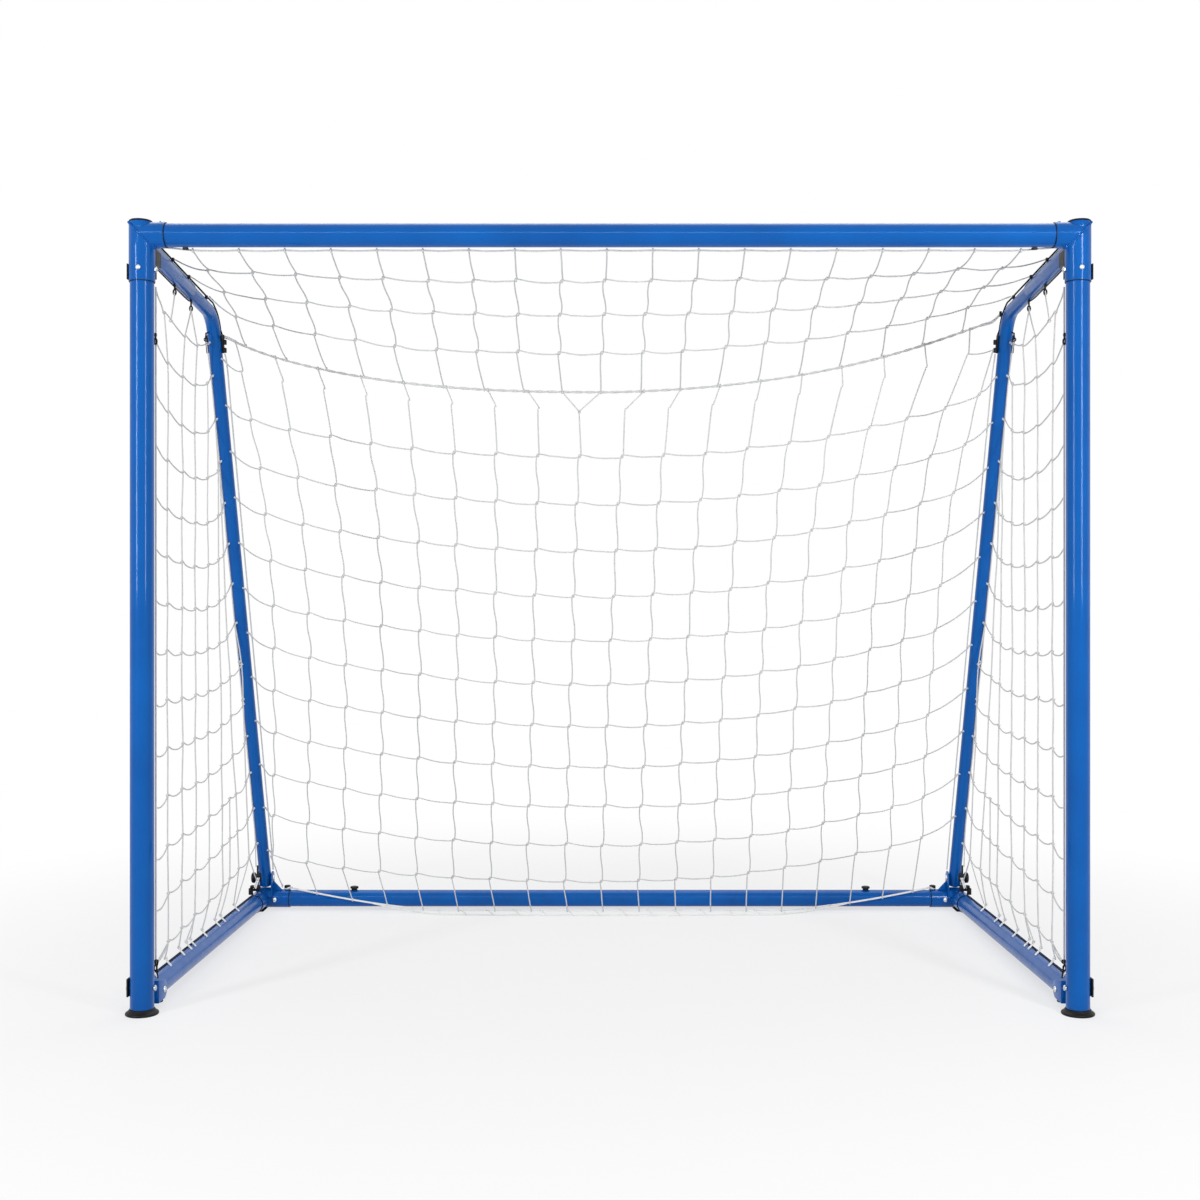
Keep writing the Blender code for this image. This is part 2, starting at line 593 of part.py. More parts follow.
def build_collar(side):
    """Clamp that holds the leg from behind and leaves its front bare."""
    name = NAMES[side]
    top, low = [Vector((hoop_x(side, hoop_leg(z)), hoop_leg(z), z)) for z in (COLLAR_TOP, COLLAR_LOW)]
    collar = add_object("hoop_collar_" + name,
                        to_mesh("hoop_collar", cylinder(top, low, COLLAR_R)), black, hoops)
    past = (low - top).normalized() * CUT
    combine(collar, cylinder(top - past, low + past, HOOP_OD / 2 + 0.0005), "DIFFERENCE")
    front_half = bmesh.new()
    size, middle = Matrix.Diagonal((2 * CUT, CUT, 3 * CUT, 1.0)), Matrix.Translation((0, -0.6 * CUT, 0))
    bmesh.ops.create_cube(front_half, size=1.0, matrix=along(top, low) @ middle @ size)
    combine(collar, front_half, "DIFFERENCE")


def rope_point(across):
    """Rear top rope: tied to the collars, sagging most steeply at its ends."""
    share = min(abs(across) / ROPE_REACH, 1.0)
    rise = 0.125 * share ** 2.6 + 0.014 * share ** 14
    return Vector((across, 0.410 + 0.118 * share ** 2.6, 1.2424 + rise))


def hem_point(across):
    """Hem rope: on the floor in the middle, up in front of the rear bar at its ends."""
    share = max(0.0, (abs(across) - 0.43) / (HEM_REACH - 0.43))
    return Vector((across, 0.940 + 0.046 * share ** 0.8, ROPE_R + GAP + 0.052 * share ** 1.6))


def rope(name, route, reach, steps):
    points = [route(-reach + 2 * reach * i / steps) for i in range(steps + 1)]
    return add_object(name, curve_tube(name, points, ROPE_R, 2, True), cord)


def net(name, place, columns, rows):
    """Flat net: a grid whose cells are inset and opened, laid on the surface that place gives."""
    shape = bmesh.new()
    bmesh.ops.create_grid(shape, x_segments=columns, y_segments=rows, size=0.5)
    lines = {}
    for vert in shape.verts:
        lines[vert] = place(vert.co.x + 0.5, vert.co.y + 0.5)
    for vert, point in lines.items():
        vert.co = point + Vector((0.0, SHIFT_Y, 0.0))
    shape.normal_update()
    ring = bmesh.ops.inset_individual(shape, faces=shape.faces[:], thickness=NET_CORD / 2,
                                      use_even_offset=True)
    rims = set(ring["faces"])
    inner = [face for face in shape.faces if face not in rims]
    bmesh.ops.delete(shape, geom=inner, context="FACES")
    obj = add_object(name, to_mesh(name, shape), cord)
    skin = obj.modifiers.new("cord", "SOLIDIFY")
    skin.thickness = NET_CORD
    skin.offset = 0.0
    return obj


def roof_place(u, v):
    across = (2 * u - 1) * (POST_X - 0.030)
    back = rope_point(across)
    fall = 0.60 * v + 0.40 * v * v
    front_y, front_z = 0.030, CROSSBAR_Z - FRONT_OD / 2 - 0.006
    y = front_y + (back.y - 0.010 - front_y) * v
    return Vector((across, y, front_z + (back.z + 0.002 - front_z) * fall))


def back_share(x):
    """How far the back net has risen towards the legs at x."""
    share = min(abs(x) / HOOP_FOOT_X, 1.0)
    return 0.85 * share ** 2.6 + 0.15 * share ** 30


def back_place(u, v):
    """Its middle bows forward from the rope to the hem, and its sides rise to the legs."""
    fall = 0.012 + 0.978 * v
    half = POST_X - 0.040 - HOOP_LEAN * v
    x = (2 * u - 1) * half
    middle = Vector((x, 0.410 + 0.527 * fall ** 1.55, 1.2424 - 1.2339 * fall))
    leg_z = 1.3715 - 1.292 * fall
    return middle.lerp(Vector((x, hoop_leg(leg_z) - 0.016, leg_z)), back_share(x))


def side_place(side):
    low_front, low_back = Vector((0.0, 0.0275, 0.066)), Vector((0.0, 0.950, 0.060))
    high_front, high_back = Vector((0.0, 0.0275, 1.400)), Vector((0.0, 0.468, 1.385))

    def place(u, v):
        low = low_front.lerp(low_back, u)
        high = high_front.lerp(high_back, u)
        point = low.lerp(high, v)
        return Vector((hoop_x(side, point.y), point.y, point.z))

    return place


clear_scene()
goal = new_collection("portable_soccer_goal")
tools = new_collection("cutters")

blue = make_material("blue_powder_coat", (0.008, 0.105, 0.47), 0.32, 0.1)
black = make_material("black_plastic", (0.015, 0.015, 0.016), 0.5)
zinc = make_material("zinc_plated_steel", (0.72, 0.73, 0.75), 0.3, 1.0)
cord = make_material("white_cord", (0.80, 0.80, 0.79), 0.8)

ROPE_REACH = POST_X - 0.030
HEM_REACH = REAR_SEAM_X - 0.012

front = add_empty("front_frame_hinge", FRONT_HINGE)
hoops = add_empty("hoops_hinge", HOOP_HINGE)

build_crossbar()
for side in NAMES:
    build_posts(side)
    build_top_corner(side)
    build_cradle(side)
    build_front_hinge(side)
    slope = build_side_bar(side)
    build_rear_corner(side, slope)
    build_hoop(side)
build_rear_bar()

rope("rear_rope", rope_point, ROPE_REACH - 0.006, 16)
rope("hem_rope", hem_point, HEM_REACH, 18)
net("net_roof", roof_place, 14, 3)
net("net_back", back_place, 14, 10)
for side in NAMES:
    net("net_side_" + NAMES[side], side_place(side), 5, 10)
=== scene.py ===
"""Portable folding soccer goal: the finished surfaces, fittings and knotted net.

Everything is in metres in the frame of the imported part, +Z up, with the mouth facing -Y.
Depths are measured from the posts' axes, which at() moves into that frame.
"""
import math
import random

import bmesh
import bpy
from mathutils import Matrix, Vector


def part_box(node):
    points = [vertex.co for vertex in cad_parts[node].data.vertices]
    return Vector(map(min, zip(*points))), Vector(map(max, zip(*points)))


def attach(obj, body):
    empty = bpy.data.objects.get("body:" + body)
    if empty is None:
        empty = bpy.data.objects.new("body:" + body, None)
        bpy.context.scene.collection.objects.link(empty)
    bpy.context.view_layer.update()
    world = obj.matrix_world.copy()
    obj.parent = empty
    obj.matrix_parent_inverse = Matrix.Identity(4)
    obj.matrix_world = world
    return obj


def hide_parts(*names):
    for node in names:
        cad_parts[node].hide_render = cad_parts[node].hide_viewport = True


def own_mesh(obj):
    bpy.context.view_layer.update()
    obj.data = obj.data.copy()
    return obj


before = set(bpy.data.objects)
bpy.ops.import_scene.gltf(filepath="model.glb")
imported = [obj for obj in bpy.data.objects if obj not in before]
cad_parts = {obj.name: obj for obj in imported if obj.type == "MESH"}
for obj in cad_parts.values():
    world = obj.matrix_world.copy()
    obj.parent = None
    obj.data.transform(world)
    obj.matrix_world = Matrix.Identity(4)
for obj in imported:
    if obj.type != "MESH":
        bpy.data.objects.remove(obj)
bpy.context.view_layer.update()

# Places read from the frame
post_low, post_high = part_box("post_right")
POST_X = (post_low.x + post_high.x) / 2
POST_Y = (post_low.y + post_high.y) / 2
bar_low, bar_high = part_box("crossbar")
CROSSBAR_Z = (bar_low.z + bar_high.z) / 2
rear_low, rear_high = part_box("rear_bar")
REAR_Y = (rear_low.y + rear_high.y) / 2 - POST_Y
REAR_Z = (rear_low.z + rear_high.z) / 2

# Sizes of the tubes and fittings
FRONT_R = 0.0225
FRONT_SLEEVE_R = 0.0245
GROUND_R = 0.021
GROUND_SLEEVE_R = 0.02275
HOOP_R = 0.015
HOOP_SLEEVE_R = 0.017
TUBE_WALL = 0.0012
SLEEVE_WALL = 0.0016
BOLT_R = 0.003
BOLT_HEAD = (0.0060, 0.0034)    # radius and height
NUT = (0.010, 0.0040)           # width across flats and height
GAP = 0.0003                    # between neighbours that touch
TUBE_SIDES = 64

# Hinges and hoops, seen from the side: depth and height
FRONT_HINGE = (0.059, 0.033)
HOOP_HINGE = (0.992, 0.0806)
HOOP_START = (0.0315, 1.4698)
HOOP_CORNER = (0.4925, 1.4255)
HOOP_BEND = 0.07
HOOP_LEAN = 0.012            # how far a hoop's foot stands inside its post
HOOP_FOOT_X = POST_X - HOOP_LEAN
CORNER_REACH = 0.8465        # inner end of a top corner's sleeve
CORNER_DROP = 1.397          # lower end of a top corner's sleeve
CORNER_BOLT_Z = 1.420
REAR_SEAM_X = 0.8205         # inner end of a rear corner's sleeve
SIDE_SLEEVE_Y = 0.92
REAR_BOLT_X = 0.855
LOCK_PIN_X = REAR_SEAM_X + 0.006
NET_BUTTON_X = 0.655
EAR_THICK = 0.003            # plates of the hinge brackets and of the rear corners
COLLAR_R, COLLAR_TOP, COLLAR_LOW = 0.0205, 1.382, 1.345

# Net: 100 mm mesh of 3 mm cord
MESH = 0.100
CORD_R = 0.0015

NAMES = {-1: "left", 1: "right"}
UP = Vector((0.0, 0.0, 1.0))
ACROSS = Vector((1.0, 0.0, 0.0))
BACK = Vector((0.0, 1.0, 0.0))
chance = random.Random(8)


def at(x, y, z):
    """Point at a depth measured from the posts' axes."""
    return Vector((x, y + POST_Y, z))


# Materials

def linear(hex_colour):
    """Linear RGBA of an sRGB hex colour such as 165BB6."""
    parts = [int(hex_colour[i:i + 2], 16) / 255 for i in (0, 2, 4)]
    return [c / 12.92 if c <= 0.04045 else ((c + 0.055) / 1.055) ** 2.4 for c in parts] + [1.0]


def add(tree, kind, values=None, links=None, **settings):
    """Add a node, set its options and socket values, and link sockets to its inputs."""
    made = tree.nodes.new(kind)
    for name, value in settings.items():
        setattr(made, name, value)
    for name, value in (values or {}).items():
        made.inputs[name].default_value = value
    for name, source in (links or {}).items():
        tree.links.new(source, made.inputs[name])
    return made


def start_material(name):
    """Material with its tree, its shader and its place along the piece."""
    material = bpy.data.materials.new(name)
    material.use_nodes = True
    tree = material.node_tree
    place = add(tree, "ShaderNodeTexCoord").outputs["Object"]
    return material, tree, tree.nodes["Principled BSDF"], place


NOISE_MIDDLE = {"From Min": 0.3, "From Max": 0.7}     # where most of a noise's values lie


def make_finish(name, shades, drift, relief, rough=None, sockets=None, harshness=0.5):
    """Material whose colour drifts between two shades.

    Drift is a noise, as its size in metres and its detail. Relief adds the strength and the depth
    in metres of its bump, and rough the least and the greatest roughness.
    """
    material, tree, shader, place = start_material(name)
    noises = []
    for size, detail in [drift, relief[:2]] + ([rough[:2]] if rough else []):
        noise = add(tree, "ShaderNodeTexNoise", {"Scale": 1.0 / size, "Detail": detail,
                                                 "Roughness": harshness}, {"Vector": place})
        noises.append(noise.outputs["Fac"])
    share = add(tree, "ShaderNodeMapRange", NOISE_MIDDLE, {"Value": noises[0]})
    shade = add(tree, "ShaderNodeMix", {"A": linear(shades[0]), "B": linear(shades[1])},
                {"Factor": share.outputs["Result"]}, data_type="RGBA")
    bump = add(tree, "ShaderNodeBump", {"Strength": relief[2], "Distance": relief[3]},
               {"Height": noises[1]})
    tree.links.new(shade.outputs["Result"], shader.inputs["Base Color"])
    tree.links.new(bump.outputs["Normal"], shader.inputs["Normal"])
    if rough:
        dull = add(tree, "ShaderNodeMapRange", {**NOISE_MIDDLE, "To Min": rough[2], "To Max": rough[3]},
                   {"Value": noises[2]})
        tree.links.new(dull.outputs["Result"], shader.inputs["Roughness"])
    for socket, value in (sockets or {}).items():
        shader.inputs[socket].default_value = value
    return material


# Baked polyester powder on steel: deep royal blue under its own clear gloss, so that lamps show as
# crisp lines on it, with a fine orange peel
BLUE = make_finish("polyester_powder_coat_blue", ("0052A0", "005CAE"), (0.14, 3.0),
                   (0.0028, 1.0, 0.10, 0.00015), (0.03, 4.0, 0.34, 0.42),
                   {"Specular IOR Level": 0.3, "Specular Tint": linear("2F7FE0"),
                    "Coat Weight": 0.30, "Coat Roughness": 0.07})
# Injection moulded polypropylene: black and satin, with a fine spark-eroded grain
BLACK = make_finish("moulded_polypropylene_black", ("08080A", "101114"), (0.02, 2.0),
                    (0.0009, 2.0, 0.25, 0.0001), (0.008, 3.0, 0.40, 0.52),
                    {"Specular IOR Level": 0.2})
# Moulded rubber: dull black, dusted grey by the floor
RUBBER = make_finish("moulded_rubber_black", ("0C0D10", "17191D"), (0.006, 4.0),
                     (0.0012, 3.0, 0.35, 0.0002), None,
                     {"Roughness": 0.85, "Specular IOR Level": 0.2})
# Bright zinc plate on steel fasteners: silvery, with cloudy bluish passivation
ZINC = make_finish("zinc_plated_steel", ("C4CAD1", "DCDDD8"), (0.004, 4.0),
                   (0.0006, 2.0, 0.2, 0.00005), (0.0025, 3.0, 0.24, 0.40), {"Metallic": 1.0})
# Knotted polyethylene twine: white and dull, drawn light grey as painted shade so that it shows on
# white; its fibres drawn about 1 mm wide so that they show
CORD = make_finish("polyethylene_twine_painted_shade", ("B6B8BA", "E2E2E0"), (0.0010, 3.0),
                   (0.0010, 3.0, 0.5, 0.0003), None, {"Roughness": 0.75, "Sheen Weight": 0.15}, 0.6)
# Polyester cord for ties, lacing and the hem: white, without the net's painted grey shade, its fibres
# drawn alike
TIE_CORD = make_finish("polyester_tie_cord_white", ("E6E6E4", "F8F8F6"), (0.0010, 3.0),
                       (0.0010, 3.0, 0.5, 0.0003), None, {"Roughness": 0.75, "Sheen Weight": 0.15}, 0.6)
# Braided polyester edge cord: black and dull, its braid drawn about 1.5 mm wide so that it shows
DARK_CORD = make_finish("braided_polyester_black", ("0A0B0E", "16181C"), (0.0015, 2.0),
                        (0.0015, 2.0, 0.5, 0.0003), None,
                        {"Roughness": 0.8, "Specular IOR Level": 0.2})


# Shapes

def aim(base, direction):
    """Matrix that puts the origin at base and the Z axis along direction."""
    return Matrix.Translation(base) @ Vector(direction).to_track_quat("Z", "Y").to_matrix().to_4x4()


def turned(shape, profile, base, direction, sides=TUBE_SIDES, closed=False):
    """Turn a profile of (radius, height) pairs round an axis through base."""
    points = [shape.verts.new((radius, 0.0, height)) for radius, height in profile]
    pairs = list(zip(points, points[1:])) + ([(points[-1], points[0])] if closed else [])
    edges = [shape.edges.new(pair) for pair in pairs]
    before = set(shape.verts) - set(points)
    bmesh.ops.spin(shape, geom=points + edges, axis=UP, cent=(0, 0, 0), steps=sides,
                   angle=math.tau, use_merge=True)
    made = [vert for vert in shape.verts if vert not in before]
    bmesh.ops.transform(shape, verts=made, matrix=aim(base, direction))


def pipe(shape, start, end, radius, wall=TUBE_WALL, sides=TUBE_SIDES, round_by=0.0004):
    """Tube with a wall and softened rims."""
    start, end = Vector(start), Vector(end)
    length, inner = (end - start).length, radius - wall
    profile = [(radius, round_by), (radius, length - round_by), (radius - round_by, length),
               (inner + round_by, length), (inner, length - round_by), (inner, round_by),
               (inner + round_by, 0.0), (radius - round_by, 0.0)]
    turned(shape, profile, start, end - start, sides, closed=True)


def sweep(shape, points, radii, sides=16, caps=True):
    """Push a ring along points; radii is one radius or one for each point."""
    points = [Vector(point) for point in points]
    if not isinstance(radii, (list, tuple)):
        radii = [radii] * len(points)
    ways = [(b - a).normalized() for a, b in zip(points, points[1:])]
    ways = [ways[0]] + [(a + b).normalized() for a, b in zip(ways, ways[1:])] + [ways[-1]]
    rim = bmesh.ops.create_circle(shape, cap_ends=caps, segments=sides, radius=radii[0],
                                  matrix=aim(points[0], ways[0]))["verts"]
    edges = list({edge for vert in rim for edge in vert.link_edges})
    for i in range(1, len(points)):
        grown = bmesh.ops.extrude_edge_only(shape, edges=edges)["geom"]
        rim = [item for item in grown if isinstance(item, bmesh.types.BMVert)]
        edges = [item for item in grown if isinstance(item, bmesh.types.BMEdge)]
        edges = [edge for edge in edges if all(vert in rim for vert in edge.verts)]
        turn = ways[i - 1].rotation_difference(ways[i]).to_matrix()
        bmesh.ops.rotate(shape, verts=rim, cent=points[i - 1], matrix=turn)
        bmesh.ops.translate(shape, verts=rim, vec=points[i] - points[i - 1])
        grow = radii[i] / radii[i - 1]
        bmesh.ops.scale(shape, verts=rim, vec=(grow, grow, grow), space=Matrix.Translation(-points[i]))
    if caps:
        bmesh.ops.contextual_create(shape, geom=edges)


def block(shape, low, high, round_by=0.0, segments=2):
    """Box between two opposite corners, with rounded edges."""
    low, high = Vector(map(min, low, high)), Vector(map(max, low, high))
    size = Matrix.Diagonal((*(high - low), 1.0))
    verts = bmesh.ops.create_cube(shape, size=1.0,
                                  matrix=Matrix.Translation((low + high) / 2) @ size)["verts"]
    if round_by:
        soften(shape, verts, round_by, segments)


def lump(shape, centre, half, round_by):
    """Rounded box about a centre, from its half sizes."""
    block(shape, centre - Vector(half), centre + Vector(half), round_by)


def soften(shape, verts, width, segments=2):
    """Round the edges among some vertices."""
    verts = set(verts)
    edges = [edge for edge in shape.edges if edge.verts[0] in verts and edge.verts[1] in verts]
    bmesh.ops.bevel(shape, geom=edges, offset=width, segments=segments, profile=0.5,
                    affect="EDGES", material=-1)


def plate(shape, outline, thickness, matrix, round_by=0.0006):
    """Flat plate with a closed outline, its middle plane placed by the matrix."""
    verts = [shape.verts.new((x, y, -thickness / 2)) for x, y in outline]
    face = shape.faces.new(verts)
    grown = bmesh.ops.extrude_face_region(shape, geom=[face], use_keep_orig=True)["geom"]
    top = [item for item in grown if isinstance(item, bmesh.types.BMVert)]
    bmesh.ops.translate(shape, verts=top, vec=(0, 0, thickness))
    made = verts + top
    bmesh.ops.transform(shape, verts=made, matrix=matrix)
    if round_by:
        rims = {edge for vert in made for edge in vert.link_edges
                if edge.calc_face_angle(0.0) > math.radians(50)}
        bmesh.ops.bevel(shape, geom=list(rims), offset=round_by, segments=2, profile=0.5,
                        affect="EDGES", material=-1)


def hexagon(shape, base, direction, across, height):
    """Hexagon nut or bolt head, its corners turned off at the free end."""
    corner = across / math.sqrt(3)
    made = bmesh.ops.create_cone(shape, cap_ends=True, segments=6, radius1=corner, radius2=corner,
                                 depth=height, matrix=aim(base, direction)
                                 @ Matrix.Translation((0, 0, height / 2)))["verts"]
    soften(shape, made, 0.0006)
    crown = [(0.0, height), (across * 0.25, height - 0.0002), (across * 0.42, height - 0.0002),
             (across * 0.46, height - 0.0006), (0.0, height - 0.0006)]
    turned(shape, crown, base, direction, 24)


def threaded_end(shape, base, direction, length, radius=BOLT_R):
    """Bolt end that stands out of its nut, with its thread's ridges."""
    pitch, profile = 0.001, [(0.0, length), (radius - 0.0008, length)]
    height = length - 0.0004
    while height > 0:
        profile += [(radius, height), (radius - 0.0004, height - pitch / 2)]
        height -= pitch
    turned(shape, profile + [(0.0, min(height + pitch / 2, 0.0))], base, direction, 16)


def pan_head(shape, base, direction, radius, height):
    """Domed head with a cross recess, on a thin washer."""
    profile = [(0.0, height * 0.62), (radius * 0.18, height * 0.66), (radius * 0.26, height),
               (radius * 0.6, height * 0.93), (radius * 0.88, height * 0.62), (radius, height * 0.2),
               (radius, 0.0), (0.0, 0.0)]
    turned(shape, profile, base, direction, 24)


def upright(x):
    """Matrix that stands a flat outline of depths and heights in the plane at x."""
    return Matrix(((0, 0, 1, x), (1, 0, 0, POST_Y), (0, 1, 0, 0), (0, 0, 0, 1)))


def weld(shape, points, radius=0.0016, closed=False):
    """Weld bead with the ripples of its passes."""
    ripple = [radius * (1.0 + 0.22 * math.cos(math.pi * i)) for i in range(len(points))]
    sweep(shape, points, ripple, 8, caps=not closed)


def smooth(points, steps=4):
    """Points along a smooth curve through the given ones."""
    ends = [points[0] * 2 - points[1]] + list(points) + [points[-1] * 2 - points[-2]]
    curve = []
    for a, b, c, d in zip(ends, ends[1:], ends[2:], ends[3:]):
        for step in range(steps):
            t = step / steps
            curve.append(0.5 * (2 * b + (c - a) * t + (2 * a - 5 * b + 4 * c - d) * t * t
                                + (3 * b - a - 3 * c + d) * t ** 3))
    return curve + [points[-1]]


def add_piece(name, shape, material, body, nodes=()):
    """Finish a mesh as a named piece that rides on a body and stands for some CAD nodes."""
    bmesh.ops.remove_doubles(shape, verts=shape.verts[:], dist=0.000005)
    bmesh.ops.recalc_face_normals(shape, faces=shape.faces[:])
    mesh = bpy.data.meshes.new(name)
    shape.to_mesh(mesh)
    shape.free()
    mesh.shade_smooth()
    mesh.set_sharp_from_angle(angle=math.radians(35))
    return dress(bpy.data.objects.new(name, mesh), material, body, nodes)


def add_twin(side, kind, shape, material, body):
    """Finish a piece of one side, which stands for that side's CAD node of the same kind."""
    return add_piece(f"{NAMES[side]}_{kind}", shape, material, body, [f"{kind}_{NAMES[side]}"])


def dress(piece, material, body, nodes=()):
    """Link a piece, give it its material, and set it on its body."""
    bpy.context.scene.collection.objects.link(piece)
    piece.data.materials.append(material)
    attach(piece, body)
    if nodes:
        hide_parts(*nodes)
    return piece


def add_bolt(side, kind, head, tail, body, stub=0.0010, low_nut=None):
    """Bolt with a hexagon nut, past which it stands by stub, or a low round nut of two heights."""
    shape, way = bmesh.new(), (head - tail).normalized()
    pan_head(shape, head, way, *BOLT_HEAD)
    turned(shape, [(BOLT_R, 0.0), (BOLT_R, (head - tail).length)], tail, way, 16)
    if low_nut:
        top, shoulder = low_nut
        turned(shape, [(0.0, top), (0.0050, top), (0.0055, shoulder), (0.0055, 0.0), (0.0, 0.0)],
               tail, -way, 24)
    else:
        hexagon(shape, tail, -way, *NUT)
        threaded_end(shape, tail - way * NUT[1], -way, stub)
    add_twin(side, kind, shape, ZINC, body)


def keep_node(name, material):
    """Give a CAD node whose shape is right its finished material."""
    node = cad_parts[name]
    node.data.materials.clear()
    node.data.materials.append(material)


# Routes that the hoops, the net and the ropes share

def hoop_x(side, y):
    """The hoop leans in evenly from its post's plane to its foot."""
    share = (y - HOOP_START[0]) / (HOOP_HINGE[0] - HOOP_START[0])
    return side * (POST_X - HOOP_LEAN * share)


def hoop_leg(z):
    """Depth of the leg's axis at a height."""
    share = (HOOP_CORNER[1] - z) / (HOOP_CORNER[1] - HOOP_HINGE[1])
    return HOOP_CORNER[0] + (HOOP_HINGE[0] - HOOP_CORNER[0]) * share


def hoop_run(y):
    """Height of the run's axis at a depth."""
    share = (y - HOOP_START[0]) / (HOOP_CORNER[0] - HOOP_START[0])
    return HOOP_START[1] + (HOOP_CORNER[1] - HOOP_START[1]) * share


def on_run(side, y, drop=0.0):
    """Point on the hoop's run, or below it by drop."""
    return at(hoop_x(side, y), y, hoop_run(y) - drop)


def on_leg(side, z, forward=0.0):
    """Point on the hoop's leg, or in front of it."""
    y = hoop_leg(z)
    return at(hoop_x(side, y), y - forward, z)


def side_bar_z(y):
    """Height of the side bars' axis at a depth."""
    slope = (REAR_Z - FRONT_HINGE[1]) / (REAR_Y - FRONT_HINGE[0])
    return FRONT_HINGE[1] + slope * (y - FRONT_HINGE[0])


def circle(centre, first, second, radius, count=32):
    """Closed ring of points in the plane of two unit vectors."""
    return [centre + (first * math.cos(a) + second * math.sin(a)) * radius
            for a in (math.tau * i / count for i in range(count + 1))]


# Front frame

def make_post(side):
    """Post tube, from its foot's flange into its top corner."""
    shape, x = bmesh.new(), side * POST_X
    flange_top, inside_corner = 0.0118, 1.455
    pipe(shape, at(x, 0, flange_top), at(x, 0, inside_corner), FRONT_R)
    add_twin(side, "post", shape, BLUE, "front_frame")


def make_crossbar():
    """Crossbar tube, pushed into both top corners."""
    shape = bmesh.new()
    reach = POST_X - 0.0305
    pipe(shape, at(-reach, 0, CROSSBAR_Z), at(reach, 0, CROSSBAR_Z), FRONT_R)
    add_piece("front_crossbar", shape, BLUE, "front_frame", ["crossbar"])


def make_top_corner(side):
    """Two sleeves cut at 45 degrees and welded, with a flat boss under the cap."""
    name, x = NAMES[side], side * POST_X
    centre = at(x, 0, CROSSBAR_Z)
    shape = bmesh.new()
    bmesh.ops.create_cone(shape, cap_ends=False, segments=TUBE_SIDES, radius1=FRONT_SLEEVE_R,
                          radius2=FRONT_SLEEVE_R, depth=0.2,
                          matrix=Matrix.Translation(at(x, 0, CORNER_DROP + 0.1)))
    bmesh.ops.bisect_plane(shape, geom=shape.verts[:] + shape.edges[:] + shape.faces[:],
                           plane_co=centre, plane_no=Vector((-side, 0, 1)).normalized(),
                           clear_outer=True)
    copied = bmesh.ops.duplicate(shape, geom=shape.verts[:] + shape.edges[:] + shape.faces[:])
    copied = [item for item in copied["geom"] if isinstance(item, bmesh.types.BMVert)]
    flip = Matrix(((0, 0, side), (0, 1, 0), (side, 0, 0))).to_4x4()
    bmesh.ops.transform(shape, verts=copied, space=Matrix.Translation(-centre), matrix=flip)
    bmesh.ops.bisect_plane(shape, geom=shape.verts[:] + shape.edges[:] + shape.faces[:],
                           plane_co=(side * CORNER_REACH, 0, 0), plane_no=(-side, 0, 0),
                           clear_outer=True)
    sleeve = add_twin(side, "top_corner", shape, BLUE, "front_frame")
    skin = sleeve.modifiers.new("wall", "SOLIDIFY")
    skin.thickness, skin.offset, skin.use_even_offset = SLEEVE_WALL, -1.0, True
    rims = sleeve.modifiers.new("rims", "BEVEL")
    rims.width, rims.segments, rims.angle_limit = 0.0004, 2, math.radians(60)

    boss = bmesh.new()
    top, boss_x = CROSSBAR_Z + FRONT_SLEEVE_R, side * (POST_X + 0.0025)
    turned(boss, [(0.0, 0.0165), (0.0202, 0.0165), (0.0210, 0.0160), (0.0212, 0.0150), (0.0212, 0.0),
                  (0.0, 0.0)], at(boss_x, 0, top - 0.016), UP)
    add_piece(name + "_cap_seat", boss, BLUE, "front_frame")

    cap = bmesh.new()
    turned(cap, [(0.0, 0.0042), (0.010, 0.0042), (0.0165, 0.0038), (0.0200, 0.0030), (0.0216, 0.0018),
                 (0.0220, 0.0006), (0.0218, 0.0), (0.0, 0.0)], at(boss_x, 0, top + 0.0008), UP)
    add_twin(side, "corner_cap", cap, BLACK, "front_frame")

    bead = bmesh.new()
    slant = Vector((side, 0, 1)).normalized() * math.sqrt(2) * FRONT_SLEEVE_R
    count = 108
    points = [centre + slant * math.cos(math.tau * i / count)
              + BACK * FRONT_SLEEVE_R * math.sin(math.tau * i / count) for i in range(count + 1)]
    weld(bead, points, 0.0021, closed=True)
    add_piece(name + "_mitre_weld", bead, BLUE, "front_frame")


def add_shade_ring(name, mouth, direction, inner, outer, body):
    """Thin black ring at a sleeve's mouth, between the sleeve and its tube: painted shade for the dark
    line of the gap there.
    """
    shape = bmesh.new()
    turned(shape, [(inner, 0.0), (outer, 0.0), (outer, 0.0014), (inner, 0.0014)], mouth, direction,
           closed=True)
    add_piece(name, shape, BLACK, body)


